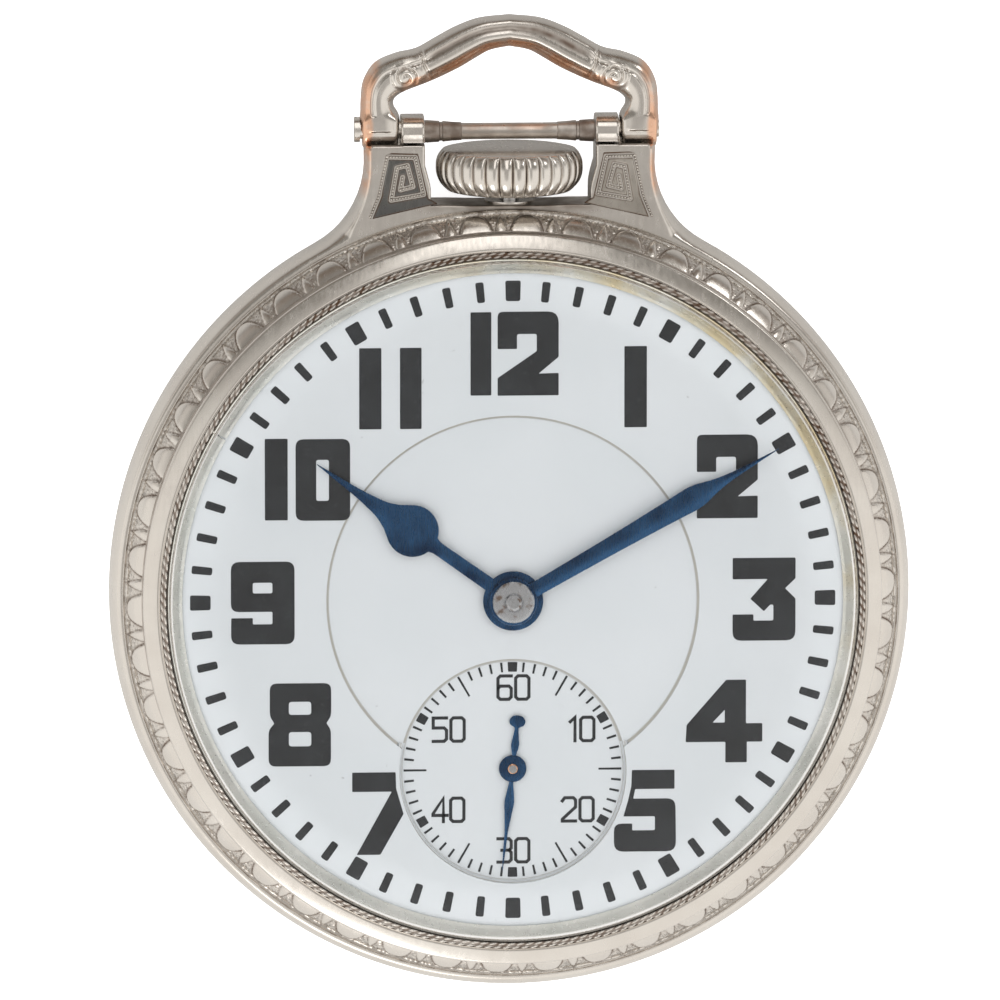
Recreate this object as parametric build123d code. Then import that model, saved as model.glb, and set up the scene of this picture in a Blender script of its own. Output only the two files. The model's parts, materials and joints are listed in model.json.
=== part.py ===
"""Open face pocket watch, 16 size: a screw bezel and snap back on a case with a bar over the crown,
and a three-quarter train movement behind a double sunk dial.

The watch lies on its back. +Z points out of the dial, +Y to 12 o'clock and +X to 3 o'clock.
The origin is on the axis of the hands, on the flat of the back. Lengths are in millimetres."""

import math
import os

from build123d import *

# ---- case -------------------------------------------------------------------------------------
CASE_RADIUS = 25.4
CASE_MID_Z = 4.9  # height of the widest line of the case, and of the stem and the bow's pivots
BACK_FLAT_RADIUS = 17.0
BACK_RADIUS = 24.5
BACK_THICKNESS = 0.6
BAND_BOTTOM_Z = 3.05
BAND_TOP_Z = 6.85
BAND_EDGE_RADIUS = 24.7
THREAD_RADIUS = 23.0
THREAD_TOP_Z = 8.2
SNAP_RADIUS = 22.9
SNAP_TOP_Z = 4.1
BORE_RADIUS = 21.7  # clears the plate's flange
LEDGE_RADIUS = 21.2  # carries the plate's flange
LEDGE_Z = 7.4
RUNNING = 0.05  # clearance of a turned or sliding fit

# ---- bezel and crystal ------------------------------------------------------------------------
BEZEL_EDGE_RADIUS = 24.6
SCALLOP_RADIUS = 23.4
SCALLOP_Z = 8.5
MILLED_RADIUS = 22.3
CRYSTAL_RADIUS = 21.8
BEZEL_TOP_Z = 10.05
CRYSTAL_SEAT_Z = 9.75
REHAUT_RADIUS = 20.9
REHAUT_Z = 9.45
CRYSTAL_APEX_Z = 12.2
CRYSTAL_THICKNESS = 0.85

# ---- pendant, bow and crown -------------------------------------------------------------------
PIVOT_Y = 29.45
PIVOT_BOSS_RADIUS = 1.45
PIVOT_SCREW_RADIUS = 0.6
LUG_INNER_X = 5.4
LUG_OUTER_X = 6.9
LUG_TOP_Y = 30.4
LUG_HALF_THICKNESS = 1.5
SHOULDER_X = 9.3
SHOULDER_Y = 28.65
NECK_Y = 24.85
BAR_Y = 29.3
BAR_RADIUS = 0.55
BOW_HALF_THICKNESS = 1.3
BOW_INNER_X = LUG_OUTER_X + 0.07
CROWN_BASE_Y = 25.45
CROWN_RADIUS = 4.65
CROWN_TOP_Y = 28.3
CROWN_FLUTES = 32
STEM_RADIUS = 0.6
STEM_END_Y = 14.4
SLEEVE_RADIUS = 1.6
BOW_OUTER_X = 9.4
BOW_SCREW_HEAD_RADIUS = 0.8
BOW_SCREW_HEAD_HEIGHT = 0.35

# ---- dial and hands ---------------------------------------------------------------------------
DIAL_RADIUS = 21.4
DIAL_TOP_Z = 9.4
CENTRE_DISC_RADIUS = 11.8
CENTRE_DISC_Z = 9.15
SECONDS_DIAL_Y = -11.0
SECONDS_DIAL_RADIUS = 7.2
SECONDS_DIAL_Z = 8.85
DIAL_LOW_Z = 8.8
SECONDS_DIAL = (0.0, SECONDS_DIAL_Y)
HOUR_ANGLE = 305.5  # degrees clockwise from 12 at rest
MINUTE_ANGLE = 60.1
SECONDS_ANGLE = 185.7
HOUR_HAND_Z = 9.6
MINUTE_HAND_Z = 9.95
SECONDS_HAND_Z = 9.02
CANNON_TOP_Z = MINUTE_HAND_Z + 0.6

# ---- movement levels --------------------------------------------------------------------------
PLATE_RADIUS = 21.59
PLATE_LOW_Z = 5.9
PLATE_TOP_Z = 7.9
BRIDGE_RADIUS = 21.0
FOOT_INNER_RADIUS = 19.6
BRIDGE_LOW_Z = 1.7
BRIDGE_TOP_Z = 3.0
COCK_LOW_Z = 1.4
COCK_TOP_Z = 2.4
WINDING_LOW_Z = 2.05
WINDING_TOP_Z = 2.6
JEWEL_RADIUS = 0.9
JEWEL_THICKNESS = 0.6
PIVOT_CLEARANCE = 0.03
CASE_SCREW_HEAD_RADIUS = 1.1
CASE_SCREW_HEAD_Z = 5.5
BRIDGE_SCREW_RADIUS = 0.4
BRIDGE_SCREW_TOP_Z = 7.0
DRUM_RADIUS = 7.3
DRUM_LOW_Z = 3.1
GREAT_LOW_Z = 4.6
GREAT_TOP_Z = 4.95
LEVER_LOW_Z = 4.4
LEVER_TOP_Z = 4.7
PALLET_BRIDGE_LOW_Z = 3.8
PALLET_BRIDGE_TOP_Z = 4.2
PALLET_BRIDGE_REACH = 3.2  # from the pallets out to each of the bridge's feet
CORE_RADIUS = 1.5  # of the crown wheel's core
ARBOR_SQUARE = 0.65  # half the barrel arbor's square
STONE_GAP = 0.22
IMPULSE_RADIUS = 0.95

# ---- gear train: teeth and modules ------------------------------------------------------------
BARREL_TEETH = 72
CENTRE_PINION_TEETH = 12
BARREL_MODULE = 0.22
CENTRE_TEETH = 80
THIRD_PINION_TEETH = 10
CENTRE_MODULE = 0.16
THIRD_TEETH = 75
FOURTH_PINION_TEETH = 10
THIRD_MODULE = 0.14
FOURTH_TEETH = 80
ESCAPE_PINION_TEETH = 8
FOURTH_MODULE = 0.12
ESCAPE_TEETH = 15
ESCAPE_RADIUS = 3.5
CANNON_TEETH = 12
MINUTE_WHEEL_TEETH = 36
CANNON_MODULE = 0.2
MINUTE_PINION_TEETH = 12
HOUR_TEETH = 48
HOUR_MODULE = 0.16
WINDING_PINION_TEETH = 20
CROWN_WHEEL_TEETH = 26
RATCHET_TEETH = 36
WINDING_MODULE = 0.24


def polar(radius, angle, centre=(0.0, 0.0)):
    """The point at a radius and an angle in degrees, counter-clockwise from +X."""
    turn = math.radians(angle)
    return (centre[0] + radius * math.cos(turn), centre[1] + radius * math.sin(turn))


def gear_distance(teeth_a, teeth_b, module):
    return (teeth_a + teeth_b) * module / 2


# ---- gear train: places -----------------------------------------------------------------------
CENTRE = (0.0, 0.0)
BARREL_BEARING = 55.0
BARREL = polar(gear_distance(BARREL_TEETH, CENTRE_PINION_TEETH, BARREL_MODULE), BARREL_BEARING)
FOURTH = (0.0, -10.85)
CENTRE_TO_THIRD = gear_distance(CENTRE_TEETH, THIRD_PINION_TEETH, CENTRE_MODULE)
THIRD_TO_FOURTH = gear_distance(THIRD_TEETH, FOURTH_PINION_TEETH, THIRD_MODULE)
THIRD_Y = -(CENTRE_TO_THIRD**2 - THIRD_TO_FOURTH**2 + FOURTH[1] ** 2) / (-2 * FOURTH[1])
THIRD = (math.sqrt(CENTRE_TO_THIRD**2 - THIRD_Y**2), THIRD_Y)
ESCAPE = polar(gear_distance(FOURTH_TEETH, ESCAPE_PINION_TEETH, FOURTH_MODULE), 160.0, FOURTH)
BALANCE = (-12.6, -3.4)
BALANCE_RADIUS = 7.2
LEVER_BEARING = math.degrees(math.atan2(BALANCE[1] - ESCAPE[1], BALANCE[0] - ESCAPE[0]))
PALLETS = polar(4.04, LEVER_BEARING, ESCAPE)
MINUTE_WHEEL = (0.0, gear_distance(CANNON_TEETH, MINUTE_WHEEL_TEETH, CANNON_MODULE))
RATCHET_TO_CROWN_WHEEL = gear_distance(RATCHET_TEETH, CROWN_WHEEL_TEETH, WINDING_MODULE)
CROWN_WHEEL = (0.0, BARREL[1] + math.sqrt(RATCHET_TO_CROWN_WHEEL**2 - BARREL[0] ** 2))
CLICK_PIVOT = (BARREL[0] + 6.3, BARREL[1] + 1.2)
CLICK_REACH = 0.07  # from the ratchet's pitch circle out to the click's beak
SETTING_LEVER_PIVOT = (9.6, 15.2)
CASE_SCREW_BEARINGS = (-35.0, 200.0)
CASE_SCREW_RADIUS_FROM_AXIS = 20.6
BARREL_BRIDGE_SCREWS = (20.0, 62.0, 125.0, 160.0)
TRAIN_BRIDGE_SCREWS = (-15.0, -55.0, -85.0)
COCK_SCREW = (-10.7, -15.4)
BRIDGE_SPLIT_Y = 2.05
STONE_BEARINGS = (LEVER_BEARING - 36, LEVER_BEARING + 36)
CROWN_WHEEL_TOOTH = 90.0  # the bearing of one of its teeth
DIAL_FEET = tuple(polar(18.4, bearing) for bearing in (38.0, 172.0, 286.0))
PLATE_JEWELS = (
    (CENTRE, 0.5),
    (THIRD, 0.18),
    (FOURTH, 0.25),
    (ESCAPE, 0.15),
    (PALLETS, 0.12),
    (BALANCE, 0.12),
)
BRIDGE_JEWELS = ((CENTRE, 0.3), (THIRD, 0.18), (FOURTH, 0.18), (ESCAPE, 0.15))


# ---- shapes -----------------------------------------------------------------------------------
def disc(radius, low, high, at=(0.0, 0.0)):
    """An upright cylinder between two heights."""
    upright = (Align.CENTER, Align.CENTER, Align.MIN)
    return Pos(at[0], at[1], low) * Cylinder(radius, high - low, align=upright)


def tube(outer, inner, low, high, at=(0.0, 0.0)):
    return disc(outer, low, high, at) - disc(inner, low, high, at)


def rod_x(radius, start, end, y, z):
    upright = (Align.CENTER, Align.CENTER, Align.MIN)
    return Pos(start, y, z) * Rot(0, 90, 0) * Cylinder(radius, end - start, align=upright)


def rod_y(radius, start, end, x=0.0, z=CASE_MID_Z):
    upright = (Align.CENTER, Align.CENTER, Align.MIN)
    return Pos(x, start, z) * Rot(-90, 0, 0) * Cylinder(radius, end - start, align=upright)


def block(x_range, y_range, z_range):
    """A box from its lowest to its highest corner."""
    size = [high - low for low, high in (x_range, y_range, z_range)]
    low_corner = (Align.MIN, Align.MIN, Align.MIN)
    return Pos(x_range[0], y_range[0], z_range[0]) * Box(*size, align=low_corner)


def slab(points, low, high):
    """A flat outline of straight runs, raised from low to high."""
    face = make_face(Polyline(*points, close=True))
    return Pos(0, 0, low) * extrude(face, high - low, dir=(0, 0, 1))


def turned(*edges):
    """A closed outline in radius and height, turned about the hands' axis."""
    return revolve(Plane.XZ * make_face(edges), Axis.Z)


def profile(points):
    """A closed outline of straight runs in radius and height, turned about the hands' axis."""
    return turned(Polyline(*points, close=True))


def bar_between(start, end, width, low, high):
    """A flat bar with square ends between two points."""
    length = math.dist(start, end)
    bearing = math.degrees(math.atan2(end[1] - start[1], end[0] - start[0]))
    box = Box(length, width, high - low, align=(Align.MIN, Align.CENTER, Align.MIN))
    return Pos(start[0], start[1], low) * Rot(0, 0, bearing) * box


def hand_frame(clockwise, at=(0.0, 0.0)):
    """Turns a shape that points to 12 o'clock to a clockwise angle about a point."""
    return Pos(at[0], at[1], 0) * Rot(0, 0, -clockwise)


# ---- gears ------------------------------------------------------------------------------------
def toothed(teeth, module, low, high, at, tooth_angle, addendum=0.8):
    """A solid gear with one tooth centred on tooth_angle."""
    pitch_radius = teeth * module / 2
    flank = (
        (pitch_radius - 1.15 * module, 0.31),
        (pitch_radius, 0.21),
        (pitch_radius + addendum * module, 0.11),
    )
    outline = []
    for tooth in range(teeth):
        for radius, share in flank:
            outline.append(polar(radius, tooth_angle + (tooth - share) * 360 / teeth, at))
        for radius, share in reversed(flank):
            outline.append(polar(radius, tooth_angle + (tooth + share) * 360 / teeth, at))
    return slab(outline, low, high)


def crossings(rim_radius, hub_radius, arms, arm_width, low, high, at, first_angle=0.0):
    """The windows cut between a wheel's arms."""
    windows = tube(rim_radius, hub_radius, low, high, at)
    for arm in range(arms):
        end = polar(rim_radius + arm_width, first_angle + arm * 360 / arms, at)
        windows -= bar_between(at, end, arm_width, low, high)
    return windows


def arbor(at, steps):
    """A turned arbor: (radius, low, high) steps on one axis."""
    shape = disc(*steps[0], at)
    for step in steps[1:]:
        shape += disc(*step, at)
    return shape


def bearing_to(start, end):
    return math.degrees(math.atan2(end[1] - start[1], end[0] - start[0]))


def gap_angle(from_place, to_place, teeth):
    """The tooth angle that puts a gap of the gear at from_place on the line towards to_place."""
    return bearing_to(from_place, to_place) + 180 / teeth


def meshed_angle(tooth_angle, teeth, place, other_place, other_teeth):
    """The tooth angle of a second gear in mesh with one whose tooth angle is known."""
    line = bearing_to(place, other_place)
    pitches = (tooth_angle - line) / (360 / teeth)
    offset = pitches - round(pitches)
    return line + 180 - offset * 360 / other_teeth + 180 / other_teeth


def spiral(inner_radius, pitch, half_turns, thickness, low, high, at):
    """A spring of half circles, each a little larger than the one before it."""
    edges = []
    for side in (-thickness / 2, thickness / 2):
        x, direction, radius = inner_radius, 1, inner_radius
        for half in range(half_turns):
            radius = inner_radius + half * pitch / 2
            centre = x - direction * radius
            reach = radius + side
            start = (centre + direction * reach, 0)
            top = (centre, direction * reach)
            end = (centre - direction * reach, 0)
            edges.append(ThreePointArc(start, top, end))
            x = centre - direction * radius
            direction = -direction
    edges.append(Line(edges[0] @ 0, edges[half_turns] @ 0))
    edges.append(Line(edges[half_turns - 1] @ 1, edges[-2] @ 1))
    return Pos(at[0], at[1], low) * extrude(make_face(edges), high - low, dir=(0, 0, 1))


# ---- case -------------------------------------------------------------------------------------
def shoulder_outline():
    """The pendant's two shoulders with their lugs, and the saddle that the crown sits in."""
    blend = polar(CASE_RADIUS, 61.0)
    edges = []
    for side in (1, -1):
        foot = (side * blend[0], blend[1])
        leave = (-side * math.sin(math.radians(61.0)), math.cos(math.radians(61.0)))
        edges.append(TangentArc(foot, (side * SHOULDER_X, SHOULDER_Y), tangent=leave))
        edges.append(
            Polyline(
                (side * SHOULDER_X, SHOULDER_Y),
                (side * LUG_OUTER_X, SHOULDER_Y),
                (side * LUG_OUTER_X, LUG_TOP_Y),
                (side * LUG_INNER_X, LUG_TOP_Y),
                (side * LUG_INNER_X, NECK_Y + 2.15),
            )
        )
        edges.append(
            ThreePointArc(
                (side * LUG_INNER_X, NECK_Y + 2.15),
                (side * (LUG_INNER_X - 0.85), NECK_Y + 0.6),
                (side * (LUG_INNER_X - 2.9), NECK_Y),
            )
        )
    saddle_half = LUG_INNER_X - 2.9
    edges.append(Line((-saddle_half, NECK_Y), (saddle_half, NECK_Y)))
    edges.append(Line((blend[0], blend[1]), (blend[0] - 1, blend[1] - 2)))
    edges.append(Line((blend[0] - 1, blend[1] - 2), (1 - blend[0], blend[1] - 2)))
    edges.append(Line((1 - blend[0], blend[1] - 2), (-blend[0], blend[1])))
    return make_face(edges)


def case_band():
    """The middle of the case: the band, its thread and snap seat, and the pendant's shoulders."""
    belly = ThreePointArc(
        (BACK_RADIUS, BAND_BOTTOM_Z), (CASE_RADIUS, CASE_MID_Z), (BAND_EDGE_RADIUS, BAND_TOP_Z)
    )
    inside = Polyline(
        (BAND_EDGE_RADIUS, BAND_TOP_Z),
        (THREAD_RADIUS, BAND_TOP_Z),
        (THREAD_RADIUS, THREAD_TOP_Z),
        (BORE_RADIUS, THREAD_TOP_Z),
        (BORE_RADIUS, LEDGE_Z),
        (LEDGE_RADIUS, LEDGE_Z),
        (LEDGE_RADIUS, SNAP_TOP_Z + 0.2),
        (SNAP_RADIUS + RUNNING, SNAP_TOP_Z + 0.2),
        (SNAP_RADIUS + RUNNING, BAND_BOTTOM_Z),
        (BACK_RADIUS, BAND_BOTTOM_Z),
    )
    band = turned(belly, inside)
    shoulders = extrude(shoulder_outline(), BAND_TOP_Z - BAND_BOTTOM_Z, dir=(0, 0, 1))
    shoulders = Pos(0, 0, BAND_BOTTOM_Z) * shoulders
    shoulders -= disc(THREAD_RADIUS + 0.5, BAND_BOTTOM_Z, BAND_TOP_Z)
    above_shoulders = (SHOULDER_Y, LUG_TOP_Y + 1)
    lug_low = CASE_MID_Z - LUG_HALF_THICKNESS
    lug_high = CASE_MID_Z + LUG_HALF_THICKNESS
    shoulders -= block((-10, 10), above_shoulders, (BAND_BOTTOM_Z - 1, lug_low))
    shoulders -= block((-10, 10), above_shoulders, (lug_high, BAND_TOP_Z + 1))
    body = band + shoulders
    crown_well = rod_y(LUG_INNER_X, NECK_Y, NECK_Y + 2)
    body -= crown_well
    for start, end in ((LUG_OUTER_X, SHOULDER_X + 1), (-SHOULDER_X - 1, -LUG_OUTER_X)):
        body -= rod_x(PIVOT_BOSS_RADIUS + RUNNING, start, end, PIVOT_Y, CASE_MID_Z)
    for start, end in ((LUG_INNER_X - 1, SHOULDER_X), (-SHOULDER_X, 1 - LUG_INNER_X)):
        body -= rod_x(PIVOT_SCREW_RADIUS, start, end, PIVOT_Y, CASE_MID_Z)
    body -= rod_y(SLEEVE_RADIUS, LEDGE_RADIUS - 1, NECK_Y + 1)
    for bearing in CASE_SCREW_BEARINGS:
        place = polar(CASE_SCREW_RADIUS_FROM_AXIS, bearing)
        body -= disc(CASE_SCREW_HEAD_RADIUS + 0.1, SNAP_TOP_Z, CASE_SCREW_HEAD_Z, place)
    return body


def pendant_sleeve():
    """The threaded sleeve that holds the stem in the pendant."""
    sleeve = rod_y(SLEEVE_RADIUS, SNAP_RADIUS + 0.1, NECK_Y + 0.1)
    return sleeve - rod_y(STEM_RADIUS + RUNNING, LEDGE_RADIUS, NECK_Y + 1)


def pendant_bar():
    """The bar over the crown, let into the two lugs."""
    bar = rod_x(BAR_RADIUS, -LUG_INNER_X, LUG_INNER_X, BAR_Y, CASE_MID_Z)
    for side in (-1, 1):
        outer, inner = side * LUG_INNER_X, side * (LUG_INNER_X - 1.1)
        bar += rod_x(BAR_RADIUS + 0.12, min(outer, inner), max(outer, inner), BAR_Y, CASE_MID_Z)
        tenon = (outer, side * (LUG_INNER_X + 0.5))
        bar += rod_x(PIVOT_SCREW_RADIUS, min(tenon), max(tenon), PIVOT_Y, CASE_MID_Z)
    return bar


def bow():
    """The bow: an arch between two scrolled corners, on legs that turn about the pivot screws."""
    half_outer = (
        (BOW_OUTER_X, PIVOT_Y),
        (BOW_OUTER_X, 31.4),
        (9.15, 32.75),
        (8.3, 33.85),
        (7.0, 34.38),
        (5.7, 34.7),
        (4.5, 35.4),
        (3.2, 36.06),
        (1.7, 36.58),
        (0.0, 36.75),
    )
    half_inner = (
        (0.0, 34.72),
        (1.3, 34.42),
        (2.1, 33.98),
        (3.2, 33.3),
        (5.0, 32.45),
        (6.9, 31.75),
        (7.4, 31.3),
        (7.4, 30.9),
        (BOW_INNER_X, 30.4),
        (BOW_INNER_X, PIVOT_Y),
    )
    edges = []
    for side in (1, -1):
        outer = [(side * x, y) for x, y in half_outer]
        inner = [(side * x, y) for x, y in half_inner]
        edges.append(Line(outer[0], outer[1]))
        edges.append(Spline(*outer[1:], tangents=[(0, 1), (-side, 0)]))
        edges.append(Spline(*inner[:6], tangents=[(side, 0), (side, -0.45)]))
        edges.append(Polyline(*inner[5:]))
        edges.append(Line(inner[-1], outer[0]))
    low = CASE_MID_Z - BOW_HALF_THICKNESS
    arch = Pos(0, 0, low) * extrude(make_face(edges), 2 * BOW_HALF_THICKNESS, dir=(0, 0, 1))
    for start, end in ((BOW_INNER_X, BOW_OUTER_X), (-BOW_OUTER_X, -BOW_INNER_X)):
        arch += rod_x(PIVOT_BOSS_RADIUS, start, end, PIVOT_Y, CASE_MID_Z)
        arch -= rod_x(PIVOT_SCREW_RADIUS + RUNNING, start, end, PIVOT_Y, CASE_MID_Z)
    return arch


def bow_screws():
    """The two screws that the bow turns on, threaded into the lugs: the left one has a head."""
    screws = []
    face = BOW_OUTER_X + RUNNING
    slot_depth = 0.15
    for side, proud in ((-1, BOW_SCREW_HEAD_HEIGHT), (1, 0.0)):
        shank = sorted((side * (LUG_INNER_X + 0.6), side * face))
        screw = rod_x(PIVOT_SCREW_RADIUS, *shank, PIVOT_Y, CASE_MID_Z)
        if proud:
            head = sorted((side * face, side * (face + proud)))
            screw += rod_x(BOW_SCREW_HEAD_RADIUS, *head, PIVOT_Y, CASE_MID_Z)
        slot = sorted((side * (face + proud - slot_depth), side * (face + proud + 1)))
        screw -= block(slot, (PIVOT_Y - 1, PIVOT_Y + 1), (CASE_MID_Z - 0.1, CASE_MID_Z + 0.1))
        screws.append(screw)
    return screws


def back_cover():
    """The snap back: flat in the middle, curved up to the band, with a snap lip inside it."""
    rise = BAND_BOTTOM_Z - 0.05
    outside = Spline(
        (BACK_FLAT_RADIUS, 0), (21.8, 0.85), (BACK_RADIUS, rise), tangents=[(1, 0), (0.25, 1)]
    )
    inner_flat = BACK_FLAT_RADIUS - 0.2
    inside = Spline(
        (inner_flat, BACK_THICKNESS), (21.0, 1.35), (22.3, 2.3), tangents=[(1, 0), (0.4, 1)]
    )
    ends = Polyline(
        (BACK_RADIUS, rise),
        (SNAP_RADIUS, rise),
        (SNAP_RADIUS, SNAP_TOP_Z),
        (22.3, SNAP_TOP_Z),
        (22.3, 2.3),
    )
    flats = Polyline((inner_flat, BACK_THICKNESS), (0, BACK_THICKNESS), (0, 0), (BACK_FLAT_RADIUS, 0))
    cover = turned(outside, inside, ends, flats)
    lip_place = polar(BACK_RADIUS - 0.35, -90)
    lip = disc(0.7, rise - 0.35, rise, lip_place)
    return cover + lip


def bezel():
    """The screw bezel: scalloped slope, plain round and milled edge, over the crystal's seat."""
    return profile(
        (
            (BEZEL_EDGE_RADIUS, BAND_TOP_Z + 0.05),
            (BEZEL_EDGE_RADIUS, BAND_TOP_Z + 0.25),
            (SCALLOP_RADIUS, SCALLOP_Z),
            (23.05, 9.3),
            (22.75, 9.7),
            (MILLED_RADIUS, BEZEL_TOP_Z - 0.05),
            (CRYSTAL_RADIUS + 0.02, BEZEL_TOP_Z),
            (CRYSTAL_RADIUS + 0.02, CRYSTAL_SEAT_Z),
            (BORE_RADIUS - 0.15, CRYSTAL_SEAT_Z - 0.15),
            (BORE_RADIUS - 0.15, THREAD_TOP_Z + 0.1),
            (THREAD_RADIUS + RUNNING, THREAD_TOP_Z + 0.1),
            (THREAD_RADIUS + RUNNING, BAND_TOP_Z + 0.05),
        )
    )


def reflector_ring():
    """The split sloping ring under the crystal's edge."""
    ring = profile(
        (
            (REHAUT_RADIUS, REHAUT_Z),
            (BORE_RADIUS - 0.15, REHAUT_Z),
            (BORE_RADIUS - 0.15, CRYSTAL_SEAT_Z - 0.15),
            (CRYSTAL_RADIUS, CRYSTAL_SEAT_Z),
            (REHAUT_RADIUS, REHAUT_Z + 0.08),
        )
    )
    split = bar_between((0, 0), polar(23, 150), 0.12, REHAUT_Z - 1, CRYSTAL_SEAT_Z + 1)
    return ring - split


def crystal():
    """The domed glass, bevelled down to the edge that snaps into the bezel."""
    inner_apex = CRYSTAL_APEX_Z - CRYSTAL_THICKNESS

    def cap(edge_radius, edge_z, apex_z):
        rise = apex_z - edge_z
        sphere = (edge_radius**2 + rise**2) / (2 * rise)
        half = edge_radius / 2
        middle = (half, apex_z - sphere + math.sqrt(sphere**2 - half**2))
        return ThreePointArc((0, apex_z), middle, (edge_radius, edge_z))

    outer_bevel = (CRYSTAL_RADIUS - 0.5, BEZEL_TOP_Z + 0.7)
    inner_bevel = (CRYSTAL_RADIUS - 1.1, CRYSTAL_SEAT_Z + 0.55)
    edge = Polyline(
        outer_bevel,
        (CRYSTAL_RADIUS, BEZEL_TOP_Z + 0.1),
        (CRYSTAL_RADIUS, CRYSTAL_SEAT_Z + 0.02),
        (CRYSTAL_RADIUS - 0.7, CRYSTAL_SEAT_Z + 0.02),
        inner_bevel,
    )
    outside = cap(*outer_bevel, CRYSTAL_APEX_Z)
    inside = cap(*inner_bevel, inner_apex)
    axis = Line((0, inner_apex), (0, CRYSTAL_APEX_Z))
    return turned(outside, edge, inside, axis)


# ---- winding ----------------------------------------------------------------------------------
def crown():
    """The fluted crown, rounded towards the neck, with a plain domed end."""
    half = (
        (0, CROWN_BASE_Y),
        (2.7, CROWN_BASE_Y),
        (3.7, CROWN_BASE_Y + 0.3),
        (4.35, CROWN_BASE_Y + 0.9),
        (CROWN_RADIUS, CROWN_BASE_Y + 1.8),
        (CROWN_RADIUS, CROWN_TOP_Y - 0.6),
        (4.3, CROWN_TOP_Y - 0.25),
        (2.2, CROWN_TOP_Y - 0.05),
        (0, CROWN_TOP_Y),
    )
    face = make_face(Polyline(*half, close=True))
    body = Pos(0, 0, CASE_MID_Z) * revolve(face, Axis.Y)
    for flute in range(CROWN_FLUTES):
        angle = flute * 360 / CROWN_FLUTES
        groove_x, groove_z = polar(CROWN_RADIUS + 0.12, angle, (0, CASE_MID_Z))
        body -= rod_y(0.26, CROWN_BASE_Y, CROWN_TOP_Y - 0.5, groove_x, groove_z)
    return body - rod_y(STEM_RADIUS, CROWN_BASE_Y, CROWN_BASE_Y + 2)


def stem():
    """The winding stem, square where it carries the clutch and round elsewhere."""
    shaft = rod_y(STEM_RADIUS, 15.4, CROWN_BASE_Y + 2)
    return shaft + block((-0.4, 0.4), (STEM_END_Y, 15.4), (CASE_MID_Z - 0.4, CASE_MID_Z + 0.4))


def along_stem(shape):
    """Lays a shape made upright at the origin along the stem, its base towards the centre."""
    return Pos(0, 0, CASE_MID_Z) * Rot(-90, 0, 0) * shape


def winding_pinion():
    """The winding pinion: a gap between its teeth faces the crown wheel."""
    # turned onto the stem, the upright pinion's +Y looks to the back of the watch
    teeth_angle = 90 + 180 / WINDING_PINION_TEETH
    pinion = toothed(WINDING_PINION_TEETH, WINDING_MODULE, 15.5, 17.3, (0, 0), teeth_angle, 0.25)
    return along_stem(pinion - disc(STEM_RADIUS, 15.5, 17.3))


def clutch():
    """The sliding clutch on the stem's square."""
    sleeve = rod_y(1.15, 14.68, 15.38)
    return sleeve - block((-0.4, 0.4), (14, 16), (CASE_MID_Z - 0.4, CASE_MID_Z + 0.4))


def crown_wheel():
    wheel = toothed(
        CROWN_WHEEL_TEETH, WINDING_MODULE, WINDING_LOW_Z, WINDING_TOP_Z, CROWN_WHEEL, CROWN_WHEEL_TOOTH
    )
    return wheel - disc(CORE_RADIUS + RUNNING, WINDING_LOW_Z, WINDING_TOP_Z, CROWN_WHEEL)


def slotted_head(radius, low, high, at):
    """A screw head with its slot in the back face."""
    head = disc(radius, low, high, at)
    slot_depth = (high - low) * 0.4
    return head - block(
        (at[0] - radius, at[0] + radius), (at[1] - 0.1, at[1] + 0.1), (low, low + slot_depth)
    )


def crown_wheel_core():
    """The fixed core that the crown wheel turns on, with its screw head over the wheel."""
    under_head = WINDING_LOW_Z - 0.02
    core = disc(CORE_RADIUS, under_head, WINDING_TOP_Z + 0.05, CROWN_WHEEL)
    return core + slotted_head(CORE_RADIUS + 0.5, under_head - 0.33, under_head, CROWN_WHEEL)


def ratchet_wheel():
    tooth_angle = meshed_angle(
        CROWN_WHEEL_TOOTH, CROWN_WHEEL_TEETH, CROWN_WHEEL, BARREL, RATCHET_TEETH
    )
    wheel = toothed(RATCHET_TEETH, WINDING_MODULE, WINDING_LOW_Z, WINDING_TOP_Z, BARREL, tooth_angle)
    x, y = BARREL
    square = block(
        (x - ARBOR_SQUARE, x + ARBOR_SQUARE),
        (y - ARBOR_SQUARE, y + ARBOR_SQUARE),
        (WINDING_LOW_Z, WINDING_TOP_Z),
    )
    return wheel - square


def ratchet_screw():
    return slotted_head(1.9, WINDING_LOW_Z - 0.4, WINDING_LOW_Z, BARREL)


def click():
    """The pawl: pivoted beside the ratchet wheel, its beak in the gap between two teeth."""
    tooth_angle = meshed_angle(
        CROWN_WHEEL_TOOTH, CROWN_WHEEL_TEETH, CROWN_WHEEL, BARREL, RATCHET_TEETH
    )
    pitch = 360 / RATCHET_TEETH
    gap = tooth_angle + pitch / 2 + pitch * math.floor(-tooth_angle / pitch)
    root = RATCHET_TEETH * WINDING_MODULE / 2
    tip = polar(root + CLICK_REACH, gap, BARREL)
    heel = polar(root + 1.3, gap + 7, BARREL)
    toe = polar(root + 1.3, gap - 5, BARREL)
    low, high = WINDING_LOW_Z, WINDING_TOP_Z - 0.05
    body = disc(0.95, low, high, CLICK_PIVOT)
    body += slab((tip, toe, CLICK_PIVOT, heel), low, high)
    return body - disc(0.4, low, high, CLICK_PIVOT)


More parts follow.
